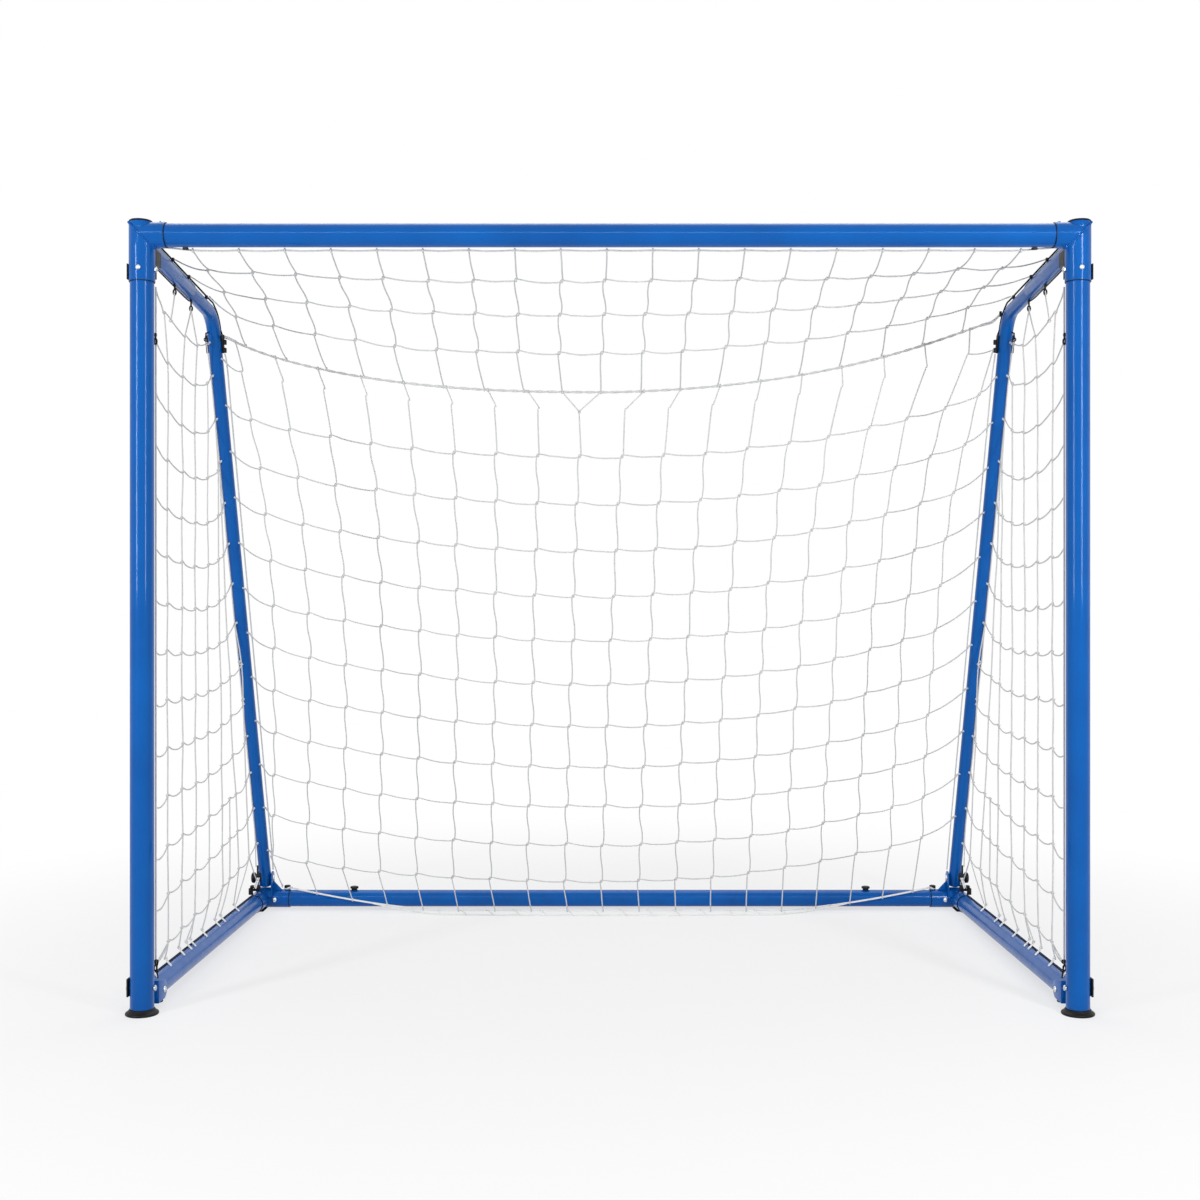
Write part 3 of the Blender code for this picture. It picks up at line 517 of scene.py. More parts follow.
def make_corner_fixings(side):
    """Through bolt along X, a short screw in front and one on the crossbar's sleeve."""
    name, x = NAMES[side], side * POST_X
    out = ACROSS * side
    outer = at(x, 0, CORNER_BOLT_Z) + out * (FRONT_SLEEVE_R + GAP)
    inner = at(x, 0, CORNER_BOLT_Z) - out * (FRONT_SLEEVE_R + GAP)
    add_bolt(side, "corner_bolt", outer, inner, "front_frame", 0.0012)

    front, screw = bmesh.new(), [(0.0, -0.006), (0.0022, -0.0055), (0.0024, 0.0)]
    seat = at(x, -FRONT_SLEEVE_R - GAP, CORNER_BOLT_Z)
    pan_head(front, seat, -BACK, 0.0050, 0.0029)
    turned(front, screw, seat, -BACK, 16)
    add_twin(side, "corner_screw", front, ZINC, "front_frame")

    top = bmesh.new()
    seat = at(side * (CORNER_REACH + 0.008), 0, CROSSBAR_Z + FRONT_SLEEVE_R + GAP)
    hexagon(top, seat, UP, 0.0090, 0.0026)
    turned(top, screw, seat, UP, 16)
    add_twin(side, "crossbar_screw", top, ZINC, "front_frame")

    backing = bmesh.new()
    near, far = outer.x - side * 0.0002, outer.x + side * 0.0018
    block(backing, at(near, -0.010, 1.400), at(far, 0.010, 1.430), 0.0006)
    add_piece(name + "_corner_plate", backing, BLACK, "front_frame")
    ring = FRONT_R + 0.0002, FRONT_SLEEVE_R - 0.0002
    # Black rings at the sleeves' mouths: painted shade for the dark lines of the gaps there
    add_shade_ring(name + "_crossbar_shade_ring", at(side * CORNER_REACH, 0, CROSSBAR_Z), -out, *ring,
              "front_frame")
    add_shade_ring(name + "_post_liner", at(x, 0, CORNER_DROP), -UP, *ring, "front_frame")


def make_foot(side):
    """Flanged plug in the post's lower end, with the plate and bolt that hold it."""
    name, x = NAMES[side], side * POST_X
    shape = bmesh.new()
    plug = FRONT_R - TUBE_WALL - 0.0006
    turned(shape, [(0.0, 0.044), (plug - 0.003, 0.044), (plug - 0.0008, 0.0405), (plug, 0.038),
                   (plug, 0.0115), (0.0235, 0.0115), (0.0243, 0.0104), (0.0262, 0.0079),
                   (0.0285, 0.0059), (0.0305, 0.0048), (0.0313, 0.0038), (0.0315, 0.0024),
                   (0.0311, 0.0008), (0.0300, 0.0), (0.0, 0.0)], at(x, 0, 0), UP)
    add_piece(name + "_post_foot", shape, BLACK, "front_frame", ["foot_" + name])

    outer, thickness = side * (POST_X + FRONT_R + GAP), 0.0038
    face = bmesh.new()
    block(face, at(outer, -0.012, 0.035), at(outer + side * thickness, 0.012, 0.070), 0.0012, 3)
    add_twin(side, "foot_plate", face, BLACK, "front_frame")

    add_bolt(side, "foot_bolt", at(outer + side * (thickness + GAP), 0, 0.050),
             at(side * (POST_X - FRONT_R - GAP), 0, 0.050), "front_frame")


def ear(shape, x, thickness, centre, radius, low, high):
    """Plate across X with a round end about centre and a straight root from low to high."""
    centre, low, high = Vector(centre), Vector(low), Vector(high)
    away = (centre - (low + high) / 2).normalized()
    across = Vector((away.y, -away.x))
    if (low - high).dot(across) < 0:
        across = -across
    outline = [high, low] + [centre + (across * math.cos(a) + away * math.sin(a)) * radius
                             for a in (math.pi * i / 24 for i in range(25))]
    plate(shape, [tuple(point) for point in outline], thickness, upright(x))


def make_hinge_bracket(side):
    """Folded channel behind the post; the side bar's end turns between its ears."""
    x, web = side * POST_X, FRONT_R + 0.0004
    shape = bmesh.new()
    block(shape, at(x - 0.0255, web, 0.014), at(x + 0.0255, web + EAR_THICK, 0.058), 0.0009)
    for offset in (-0.024, 0.024):
        ear(shape, x + offset, EAR_THICK, FRONT_HINGE, 0.0185, (web + 0.0002, 0.0142),
            (web + 0.0002, 0.0578))
    add_twin(side, "hinge_bracket", shape, BLUE, "front_frame")

    add_bolt(side, "hinge_bolt", at(x - side * 0.0258, *FRONT_HINGE),
             at(x + side * 0.0258, *FRONT_HINGE), "ground_frame")


# Ground frame

def make_side_bar(side):
    """Side tube, and the rubber pad under its front end."""
    x = side * POST_X
    start, end = FRONT_HINGE[0] - 0.0195, REAR_Y - 0.030
    shape = bmesh.new()
    pipe(shape, at(x, start, side_bar_z(start)), at(x, end, side_bar_z(end)), GROUND_R)
    add_twin(side, "side_bar", shape, BLUE, "ground_frame")

    pad = bmesh.new()
    top = side_bar_z(0.105) - GROUND_R - GAP
    turned(pad, [(0.0, top), (0.0105, top), (0.0112, top - 0.0006), (0.0128, 0.0026), (0.0130, 0.0016),
                 (0.0126, 0.0), (0.0, 0.0)], at(x, 0.092, 0), UP, 40)
    add_twin(side, "front_pad", pad, RUBBER, "ground_frame")


def make_rear_corner(side):
    """Side and rear sleeves welded at a right angle, with the ears, bridge and gusset of the foot."""
    name, x = NAMES[side], side * POST_X
    shape = bmesh.new()
    corner = at(x, REAR_Y, REAR_Z)
    front_end = at(x, SIDE_SLEEVE_Y, side_bar_z(SIDE_SLEEVE_Y))
    way = (corner - front_end).normalized()
    back_end = corner + way * (GROUND_SLEEVE_R - 0.0002)
    pipe(shape, front_end, back_end, GROUND_SLEEVE_R, SLEEVE_WALL)
    turned(shape, [(0.0, 0.0), (0.0185, 0.0), (0.0208, -0.0006), (0.0208, -0.003), (0.0, -0.003)],
           back_end, way)
    pipe(shape, at(side * REAR_SEAM_X, REAR_Y, REAR_Z), corner + ACROSS * side * 0.002,
         GROUND_SLEEVE_R, SLEEVE_WALL)
    foot_x = side * HOOP_FOOT_X
    root = REAR_Z + 0.008
    for offset in (-0.0185, 0.0185):
        ear(shape, foot_x + offset, EAR_THICK, HOOP_HINGE, 0.017, (REAR_Y - 0.030, root),
            (REAR_Y + 0.012, root))
    bridge, front_y, back_y = 0.0555, 0.974, 1.016
    arch = [(back_y, root), (front_y, root)]
    for i in range(25):
        share = i / 12 - 1
        arch.append(((front_y + back_y + (back_y - front_y) * share) / 2, bridge - 0.0095 * share ** 2))
    plate(shape, arch, 0.0345, upright(foot_x))
    gusset_x = HOOP_FOOT_X - 0.0190
    outline = [(gusset_x, REAR_Z + 0.010), (gusset_x, 0.074), (gusset_x - 0.024, REAR_Z + 0.0225),
               (gusset_x - 0.024, REAR_Z + 0.010)]
    stand = Matrix(((1, 0, 0, 0), (0, 0, 1, POST_Y + HOOP_HINGE[0] + 0.004), (0, 1, 0, 0),
                    (0, 0, 0, 1)))
    plate(shape, [(side * px, pz) for px, pz in outline], EAR_THICK, stand)
    add_twin(side, "rear_corner", shape, BLUE, "ground_frame")

    seams = bmesh.new()
    ring = GROUND_R + 0.0002, GROUND_SLEEVE_R - 0.0002
    # Black rings at the sleeves' mouths: painted shade for the dark lines of the gaps there
    add_shade_ring(name + "_side_shade_ring", front_end, -way, *ring, "ground_frame")
    add_shade_ring(name + "_rear_shade_ring", at(side * REAR_SEAM_X, REAR_Y, REAR_Z), -ACROSS * side, *ring,
              "ground_frame")
    count = 72
    inside = [math.tau * i / count for i in range(count + 1)]
    saddle = [corner + Vector((-side * GROUND_SLEEVE_R * abs(math.sin(a)), GROUND_SLEEVE_R
                               * math.sin(a), GROUND_SLEEVE_R * math.cos(a))) for a in inside]
    weld(seams, saddle, 0.0015, closed=True)
    top = REAR_Z + GROUND_SLEEVE_R
    for offset in (-0.0205, -0.0165, 0.0165, 0.0205):
        run = [at(foot_x + offset, REAR_Y - 0.026 + 0.034 * i / 22, top - 0.0012
                  - 26.0 * (foot_x + offset - x) ** 2) for i in range(23)]
        weld(seams, run, 0.0013)
    for edge in (-0.0022, 0.0022):
        run = [at(side * (gusset_x - 0.002 - 0.020 * i / 14), HOOP_HINGE[0] + 0.004 + edge,
                  top - 0.0008) for i in range(15)]
        weld(seams, run, 0.0012)
    add_piece(name + "_rear_welds", seams, BLUE, "ground_frame")


def make_rear_fixings(side):
    """Through bolt, spring lock pin and net button of the rear bar, and the corner's pad."""
    x = side * POST_X
    add_bolt(side, "rear_bolt", at(side * REAR_BOLT_X, REAR_Y - GROUND_SLEEVE_R - GAP, REAR_Z),
             at(side * REAR_BOLT_X, REAR_Y + GROUND_SLEEVE_R + GAP, REAR_Z), "ground_frame",
             low_nut=(0.0010, 0.0006))

    pad = bmesh.new()
    pad_top = REAR_Z - GROUND_SLEEVE_R - GAP
    block(pad, at(x - 0.014, REAR_Y - 0.045, 0.0), at(x + 0.014, REAR_Y + 0.012, pad_top), 0.0008)
    add_twin(side, "rear_pad", pad, RUBBER, "ground_frame")

    knob = bmesh.new()
    seat = at(side * LOCK_PIN_X, REAR_Y, REAR_Z + GROUND_SLEEVE_R + GAP)
    turned(knob, [(0.0, 0.0105), (0.0052, 0.0105), (0.0070, 0.0100), (0.0079, 0.0088), (0.0080, 0.0050),
                  (0.0078, 0.0034), (0.0066, 0.0026), (0.0056, 0.0018), (0.0055, 0.0), (BOLT_R, 0.0),
                  (BOLT_R, -0.014), (0.0018, -0.016), (0.0, -0.016)], seat, UP, 32)
    add_twin(side, "lock_pin", knob, BLACK, "pin_" + NAMES[side])

    button = bmesh.new()
    seat = at(side * NET_BUTTON_X, REAR_Y, REAR_Z + GROUND_R + GAP)
    turned(button, [(0.0, 0.0095), (0.0070, 0.0095), (0.0095, 0.0088), (0.0104, 0.0076),
                    (0.0105, 0.0050), (0.0098, 0.0040), (0.0078, 0.0034), (0.0074, 0.0024),
                    (0.0075, 0.0), (BOLT_R, 0.0), (BOLT_R, -0.008), (0.0, -0.009)], seat, UP, 32)
    add_twin(side, "net_button", button, BLACK, "ground_frame")


def make_rear_bar():
    """Rear tube, pushed into both rear corners."""
    shape = bmesh.new()
    reach = POST_X - 0.0275
    pipe(shape, at(-reach, REAR_Y, REAR_Z), at(reach, REAR_Y, REAR_Z), GROUND_R)
    add_piece("ground_rear_bar", shape, BLUE, "ground_frame", ["rear_bar"])


# Hoops

def hoop_path(side):
    """Straight run, round bend and straight leg of a hoop's axis."""
    start, corner = Vector((0.200, hoop_run(0.200))), Vector(HOOP_CORNER)
    foot = Vector(HOOP_HINGE)
    foot += (foot - corner).normalized() * 0.019
    into, out = (corner - start).normalized(), (foot - corner).normalized()
    turn = into.angle(out)
    reach = HOOP_BEND * math.tan(turn / 2)
    first = corner - into * reach
    centre = first + Vector((into.y, -into.x)) * HOOP_BEND
    steps = 24
    bend = [centre + Matrix.Rotation(-turn * i / steps, 2) @ (first - centre) for i in range(steps + 1)]
    path = [start] + bend + [foot]
    return [at(hoop_x(side, y), y, z) for y, z in path]


def make_hoop(side):
    """Bent tube with a rounded plug in its foot, and the sleeve over its front end."""
    shape = bmesh.new()
    path = hoop_path(side)
    sweep(shape, path, HOOP_R, 48)
    pivot = at(side * HOOP_FOOT_X, *HOOP_HINGE)
    turned(shape, [(0.0, 0.0240), (0.0050, 0.0235), (0.0100, 0.0218), (0.0135, 0.0198),
                   (0.0146, 0.0189), (0.0146, 0.0150), (0.0, 0.0150)], pivot, path[-1] - path[-2], 48)
    add_twin(side, "hoop", shape, BLUE, "back_hoops")

    sleeve = bmesh.new()
    start, end = on_run(side, HOOP_START[0]), on_run(side, 0.310)
    length = (end - start).length
    inner, taper = HOOP_SLEEVE_R - SLEEVE_WALL, 0.004
    turned(sleeve, [(HOOP_SLEEVE_R, 0.0006), (HOOP_SLEEVE_R, length - taper),
                    (HOOP_R + 0.0006, length), (HOOP_R, length), (inner, length - taper), (inner, 0.0),
                    (HOOP_SLEEVE_R - 0.0006, 0.0)], start, end - start, 48, closed=True)
    add_twin(side, "hoop_sleeve", sleeve, BLUE, "back_hoops")


def make_hoop_foot(side):
    """Hinge bolt through the ears and the round grip on its outer end."""
    out, reach, boss = ACROSS * side, 0.0203, 0.0030
    outer = at(side * (HOOP_FOOT_X + reach), *HOOP_HINGE)
    add_bolt(side, "hoop_bolt", at(side * (HOOP_FOOT_X - reach), *HOOP_HINGE), outer, "ground_frame",
             low_nut=(boss, 0.0025))

    knob = bmesh.new()
    turned(knob, [(0.0, 0.0110), (0.0085, 0.0110), (0.0112, 0.0104), (0.0130, 0.0090), (0.0135, 0.0072),
                  (0.0135, 0.0040), (0.0126, 0.0022), (0.0105, 0.0008), (0.0090, 0.0), (0.0, 0.0)],
           outer + out * (boss + GAP), out, 40)
    add_twin(side, "hoop_knob", knob, BLACK, "ground_frame")


def make_collar(side):
    """Clamp that grips the leg from behind and leaves its front bare."""
    shape = bmesh.new()
    top, low = on_leg(side, COLLAR_TOP), on_leg(side, COLLAR_LOW)
    way = (low - top).normalized()
    forward = ACROSS.cross(way).normalized()
    if forward.y > 0:
        forward = -forward
    outer, inner, lip, open_at = COLLAR_R, HOOP_R + 0.0006, 0.0010, math.radians(79)
    arms = [open_at + (math.tau - 2 * open_at) * i / 30 for i in range(31)]
    rim = [(outer * math.cos(a), outer * math.sin(a)) for a in arms]
    rim += [(inner * math.cos(a), inner * math.sin(a)) for a in reversed(arms)]
    turn = Matrix((forward, ACROSS, way)).transposed().to_4x4()
    stand = Matrix.Translation((top + low) / 2) @ turn
    plate(shape, rim, (low - top).length, stand, lip)
    add_twin(side, "hoop_collar", shape, BLACK, "back_hoops")


# Net: routes of its ropes and places of its knots

ROPE_REACH = POST_X - 0.030
HEM_REACH = REAR_SEAM_X - 0.012
HEM_FLAT = 0.43              # how far from the middle the hem stays near the floor
ROOF_FRONT_Y = 0.012         # depth of the roof's front edge
COLUMNS = 19                 # cords across the roof and the back
BACK_ROWS = 11               # rows of the back between the rope and the hem
SIDE_ROWS = 14
NET_LEAN = 0.047             # how far the back's cords have drifted left at the hem
RIGHT_LIFT = 0.055           # how much higher the rope ends on the right, at the hoop's bend
CLIP_DEPTHS = (0.211, 0.328)
ROOF_TIES = (0.150, 0.262, 0.400)
CLIP_DROP = 0.033            # from the run's axis to a clip's eye
OUTER_COLUMNS = ((-1, 0), (1, COLUMNS - 1))       # side and column
SPLIT = 8                    # the cord of the back that hangs from two places on the rope
LEG_GAP = 0.0165             # how far a side panel's edge hangs in front of the leg's axis
LEG_SLOPE = (HOOP_HINGE[0] - HOOP_CORNER[0]) / (HOOP_CORNER[1] - HOOP_HINGE[1])
LACING_DEPTHS = (0.085, 0.178, 0.275, 0.330, 0.360, 0.455, 0.565, 0.615, 0.742)

# How far each of the back's cords meets the rope beside its first knot
TOP_SHIFTS = (-0.033, -0.031, -0.027, -0.021, -0.018, -0.018, -0.019, -0.024, 0.0, 0.045, 0.034,
              0.028, 0.025, 0.023, 0.024, 0.026, 0.035, 0.052, 0.030)

# How far the roof's cords meet the rope beside an even spacing
ROOF_SHIFTS = (0.004, 0.010, 0.013, 0.008, 0.007, 0.007, 0.007, 0.004, -0.002, -0.007, -0.009,
               -0.013, -0.020, -0.021, -0.020, -0.019, -0.014, -0.010, -0.006)

# Upright cords of a side panel: depth at the floor, lean forward for each metre of height, first
# row, and the depths at which the ends are laced to the side bar
SIDE_CORDS = ((0.163, 0.0, 0, (0.085, 0.172)), (0.264, 0.0, 0, (0.270,)),
              (0.361, 0.0, 0, (0.326, 0.357)), (0.466, 0.008, 1, (0.452,)),
              (0.590, 0.05, 3, (0.562,)), (0.645, 0.0, 11, (0.612,)), (0.740, 0.18, 4, (0.740,)),
              (0.839, 0.165, 8, (0.765, 0.880)))
TOP_KNOTS = ((0.142, 1.366), (0.280, 1.342), (0.378, 1.339))


def rope_point(x):
    """Rear top rope: sagging most steeply at its ends, of which the right one is higher."""
    share = min(abs(x) / ROPE_REACH, 1.0)
    rise = 0.125 * share ** 2.6 + 0.014 * share ** 14
    if x > 0:
        rise += RIGHT_LIFT * share ** 1.35 - 0.020 * share ** 14
    return at(x, 0.410 + 0.100 * share ** 2.6, 1.2420 + rise)


def hem_point(x):
    """Hem cord: near the floor in the middle, up in front of the rear bar at its ends."""
    share = max(0.0, (abs(x) - HEM_FLAT) / (HEM_REACH - HEM_FLAT))
    return at(x, 0.937 + 0.049 * share ** 0.8, 0.0085 + 0.0465 * share ** 1.6)


def roof_knot(column, row):
    """Knot of the roof; row 0 is on the crossbar's edge cord and row 4 on the rope."""
    front_x, back_x = -0.799 + 0.0881 * column, -0.8165 + 0.0893 * column
    back = rope_point(back_x)
    v = row / 4
    edge = abs(front_x / 0.8) ** 4
    fall = (0.60 - 0.40 * edge) * v + (0.40 + 0.40 * edge) * v * v
    front = at(front_x, ROOF_FRONT_Y, CROSSBAR_Z - FRONT_R - 0.0035)
    place = front.lerp(back, v)
    place.x *= 1 - 0.019 * math.sin(math.pi * v ** 1.6)
    place.x += ROOF_SHIFTS[column] if row == 4 else -0.0085 * (row / 3) ** 2
    place.z = front.z + (back.z - front.z) * fall
    return place


def back_share(x):
    """How far a row of the back has risen towards the leg on x's side."""
    t = min(abs(x) / HOOP_FOOT_X, 1.0)
    return 0.87 * t ** (2.0 if x > 0 else 2.3) + 0.13 * t ** 20


def back_tie_z(row, x):
    """Height at which a row of the back is tied to the leg on x's side."""
    first, step = (1.288, 0.0975) if x > 0 else (1.2275, 0.1005)
    return first - step * (row - 1) - 0.0007 * (row - 1) ** 2


def back_row(row, x):
    """Point on a row of the back, from its middle height and its height at the legs."""
    middle_z = 1.103 - 0.1011 * (row - 1)
    fall = (1.2424 - middle_z) / 1.2339
    middle_y = 0.410 + 0.527 * fall ** 1.55
    leg_z = back_tie_z(row, x)
    share = back_share(x)
    y = middle_y + (hoop_leg(leg_z) - 0.016 - middle_y) * share
    return at(x, y, middle_z + (leg_z - middle_z) * share)


def back_knot(column, row):
    """Knot of the back net; the cords draw in towards the middle and all drift left."""
    top_x = -0.805 + 0.0923 * column - 0.030 * (column / (COLUMNS - 1)) ** 8
    share = (row - 1) / (BACK_ROWS - 1)
    drift = share ** 0.85 + top_x * math.sin(math.pi * share ** 0.75)
    return back_row(row, top_x - NET_LEAN * drift)


def side_ends(row):
    """Heights of a side row's hook on the post and of its tie on the leg."""
    return 1.388 - 0.0997 * row, min(1.387 - 0.0932 * row, 1.364)


def side_knot(side, row, y):
    """Knot of a side row, which sags most a little behind its middle."""
    post_z, leg_z = side_ends(row)
    share = (y - 0.035) / (hoop_leg(leg_z) - 0.055)
    t = share ** 1.4
    sag = min(0.049, 0.035 + 0.006 * row) - 0.0045 * max(0, row - 4)
    return at(hoop_x(side, y), y, post_z + (leg_z - post_z) * share - 4 * sag * t * (1 - t))


def side_knots(side):
    """Knots of each upright cord of a side panel, by row."""
    uprights = []
    for k, (depth, lean, first, _) in enumerate(SIDE_CORDS):
        knots = {}
        for row in range(first, SIDE_ROWS):
            if row == 0:
                y, z = TOP_KNOTS[k]
                knots[row] = at(hoop_x(side, y), y, z)
            else:
                knots[row] = side_knot(side, row, depth - lean * (side_ends(row)[0] - 0.03))
            knots[row] += wander(0.0015)
        uprights.append(knots)
    return uprights


# Net: cords, as one curve for each piece

def new_cords(name):
    """Curve that holds the cords of one piece; each point's radius scales CORD_R."""
    curve = bpy.data.curves.new(name, "CURVE")
    curve.dimensions = "3D"
    curve.bevel_depth = CORD_R
    curve.bevel_resolution = 1
    curve.use_fill_caps = True
    return curve


def lay(curve, points, radii=1.0):
    """Add one cord along points."""
    if not isinstance(radii, (list, tuple)):
        radii = [radii] * len(points)
    spline = curve.splines.new("POLY")
    spline.points.add(len(points) - 1)
    for target, point, radius in zip(spline.points, points, radii):
        target.co = (*point, 1.0)
        target.radius = radius


def finish_cords(curve, material, body, nodes=(), folds=True):
    """Turn the cords into a mesh piece; a net also gets a mesh of its own."""
    name = curve.name
    source = bpy.data.objects.new(name + "_cords", curve)
    bpy.context.scene.collection.objects.link(source)
    bpy.context.view_layer.update()
    mesh = bpy.data.meshes.new_from_object(source.evaluated_get(bpy.context.evaluated_depsgraph_get()))
    bpy.data.objects.remove(source, do_unlink=True)
    shape = bmesh.new()
    shape.from_mesh(mesh)
    bpy.data.meshes.remove(mesh)
    piece = add_piece(name, shape, material, body, nodes)
    if folds:
        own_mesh(piece)
    return piece


def wander(amount):
    """Small random offset, so that no cord is ruler straight."""
    return Vector([chance.uniform(-amount, amount) for _ in range(3)])


def ends_of_knot(place, right, down, reach=0.0026):
    """Where the cords meet a knot: one end low on the left, the other high on the right."""
    return place - right * reach + down * reach * 1.25, place + right * reach - down * reach * 1.25


def tie_knot(curve, low, high, normal):
    """Swollen knot with one turn of cord round it."""
    middle, way = (low + high) / 2, (high - low).normalized()
    reach = (high - low) * 0.62
    shares = (-1.0, -0.6, 0.0, 0.6, 1.0)
    lay(curve, [middle + reach * share for share in shares], [0.9, 1.75, 2.1, 1.75, 0.9])
    tilt = (way.cross(normal) + way * 0.5).normalized()
    lay(curve, circle(middle, normal, tilt, 0.0031, 8), 0.8)


def hang(start, end, droop, count=3):
    """Points between two knots, hanging a little."""
    shares = [(i + 1) / (count + 1) for i in range(count)]
    return [start.lerp(end, s) - UP * droop * 4 * s * (1 - s) + wander(0.0006) for s in shares]


def strand(curve, start, end, droop, count=2):
    """One cord that hangs a little between two points."""
    lay(curve, smooth([start, *hang(start, end, droop, count), end]))


def eyelet(curve, place, weight=1.1, radius=0.0030):
    """Turn of cord round an edge cord, a rope or a hook."""
    lay(curve, circle(place, BACK, UP, radius, 10), weight)


def knot_grid(curve, grid, row_droop, bow=0.0022, reach=0.0026):
    """Cords of a knotted net; grid[column][row] holds the knots. Returns each knot's two ends."""
    ends = {}
    for i, column in enumerate(grid):
        for j, place in enumerate(column):
            left = grid[max(i - 1, 0)][j]
            right = grid[min(i + 1, len(grid) - 1)][j]
            up, down = column[max(j - 1, 0)], column[min(j + 1, len(column) - 1)]
            across, along = (right - left).normalized(), (down - up).normalized()
            ends[i, j] = ends_of_knot(place, across, along, reach)
            tie_knot(curve, *ends[i, j], across.cross(along))
    for i, column in enumerate(grid):
        route = [ends[i, 0][1], ends[i, 0][0]]
        for j in range(1, len(column)):
            start, (low, high) = route[-1], ends[i, j]
            side = (high - low).normalized() * bow
            route += [start.lerp(high, 0.30) - side + wander(0.0007),
                      start.lerp(high, 0.72) + side + wander(0.0007), high, low]
        lay(curve, smooth(route, 3))
    for j in range(len(grid[0])):
        route = [ends[0, j][0], ends[0, j][1]]
        for i in range(1, len(grid)):
            low, high = ends[i, j]
            route += hang(route[-1], low, row_droop + chance.uniform(-0.001, 0.001)) + [low, high]
        lay(curve, smooth(route, 2))
    return ends


def make_roof():
    """Roof net from the crossbar to the rear top rope."""
    curve = new_cords("roof_net")
    grid = [[roof_knot(i, j) + wander(0.0025) for j in (1, 2, 3)] for i in range(COLUMNS)]
    ends = knot_grid(curve, grid, 0.003)
    for i in range(COLUMNS):
        front, back = roof_knot(i, 0), roof_knot(i, 4)
        strand(curve, front, ends[i, 0][1], 0.004)
        strand(curve, ends[i, 2][0], back, 0.004)
        eyelet(curve, back, 1.2)
        eyelet(curve, front, 1.2)
    for j, y in enumerate(ROOF_TIES):
        for side, column in OUTER_COLUMNS:
            inner = ends[column, j][0 if side < 0 else 1]
            outer = on_run(side, y) - ACROSS * side * (HOOP_R + 0.004) + UP * 0.014
            strand(curve, inner, outer, 0.004)
    knots = [roof_knot(i, 0) for i in range(COLUMNS)]
    edge = [at(-CORNER_REACH, ROOF_FRONT_Y, knots[0].z + 0.005)]
    for a, b in zip(knots, knots[1:]):
        edge += [a, *hang(a, b, 0.0010, 2)]
    edge += [knots[-1], at(CORNER_REACH, ROOF_FRONT_Y, knots[0].z + 0.005)]
    lay(curve, smooth(edge, 2), 1.15)
    finish_cords(curve, CORD, "ground_frame", ["net_roof"])


def make_back():
    """Back net: knotted rows and cords, hung from the rope and tied to the legs and the hem."""
    curve = new_cords("back_net")
    grid = [[back_knot(i, j) + wander(0.002) for j in range(1, BACK_ROWS + 1)] for i in range(COLUMNS)]
    ends = knot_grid(curve, grid, 0.0028)
    for i in range(COLUMNS):
        hang_back(curve, i, ends[i, 0][1])
        hem, low = hem_point(grid[i][-1].x * 0.985 + 0.004), ends[i, BACK_ROWS - 1][0]
        strand(curve, low, hem, 0.0)
        eyelet(curve, hem)
    for side, column in OUTER_COLUMNS:
        knots = [ends[column, j][0 if side < 0 else 1] for j in range(BACK_ROWS)]
        if side < 0:
            knots.insert(0, first_kink(0))
        tie_back(curve, side, knots)
    finish_cords(curve, CORD, "ground_frame", ["net_back"])


def first_kink(column):
    """Bend of a cord of the back between the rope and its first knot."""
    return back_row(0, -0.819 + 0.0948 * column)


def hang_back(curve, column, first):
    """The top end of a cord of the back, from its place on the rope."""
    top = rope_point(max(-0.840, min(0.858, first.x + TOP_SHIFTS[column])))
    if column == SPLIT:
        joint = back_row(0, -0.067) - UP * 0.004
        strand(curve, joint, first, 0.0)
        for x in (roof_knot(SPLIT, 4).x, roof_knot(SPLIT + 1, 4).x):
            lay(curve, smooth([rope_point(x), joint + wander(0.0005)]))
        tie_knot(curve, joint - UP * 0.003, joint + UP * 0.003, BACK)
    elif column == COLUMNS - 1:
        hook = on_leg(1, COLLAR_LOW + 0.006, 0.006) - ACROSS * (HOOP_R + 0.012)
        strand(curve, hook, first, 0.0)
        inner = first_kink(column - 1)
        strand(curve, inner, hook, 0.004)
    else:
        kink = first_kink(column)
        low, high = ends_of_knot(kink, ACROSS, -UP, 0.0016)
        lay(curve, smooth([top, *hang(top, high, 0.0, 1), high, low, *hang(low, first, 0.0, 1), first],
                          3))
        eyelet(curve, top, radius=0.0032)


def tie_back(curve, side, knots):
    """The back's rows from their outer knots to the leg, and the edge cord beside it."""
    edge = []
    for row, knot in enumerate(knots, BACK_ROWS + 1 - len(knots)):
        leg = on_leg(side, back_tie_z(row, side), 0.003)
        tie = leg - ACROSS * side * (HOOP_R + 0.009) - UP * 0.006
        strand(curve, knot, tie, 0.005)
        lay(curve, [tie, leg - ACROSS * side * (HOOP_R + 0.003) + UP * 0.002,
                    leg - ACROSS * side * (HOOP_R - 0.002) - BACK * 0.008 + UP * 0.005], 1.5)
        edge.append(tie)
    foot = on_leg(side, 0.104, 0.006) - ACROSS * side * (HOOP_R + 0.008)
    head = on_leg(side, COLLAR_LOW - 0.002, 0.004) - ACROSS * side * (HOOP_R + 0.006)
    lay(curve, smooth([head, *edge, foot], 3), 1.1)


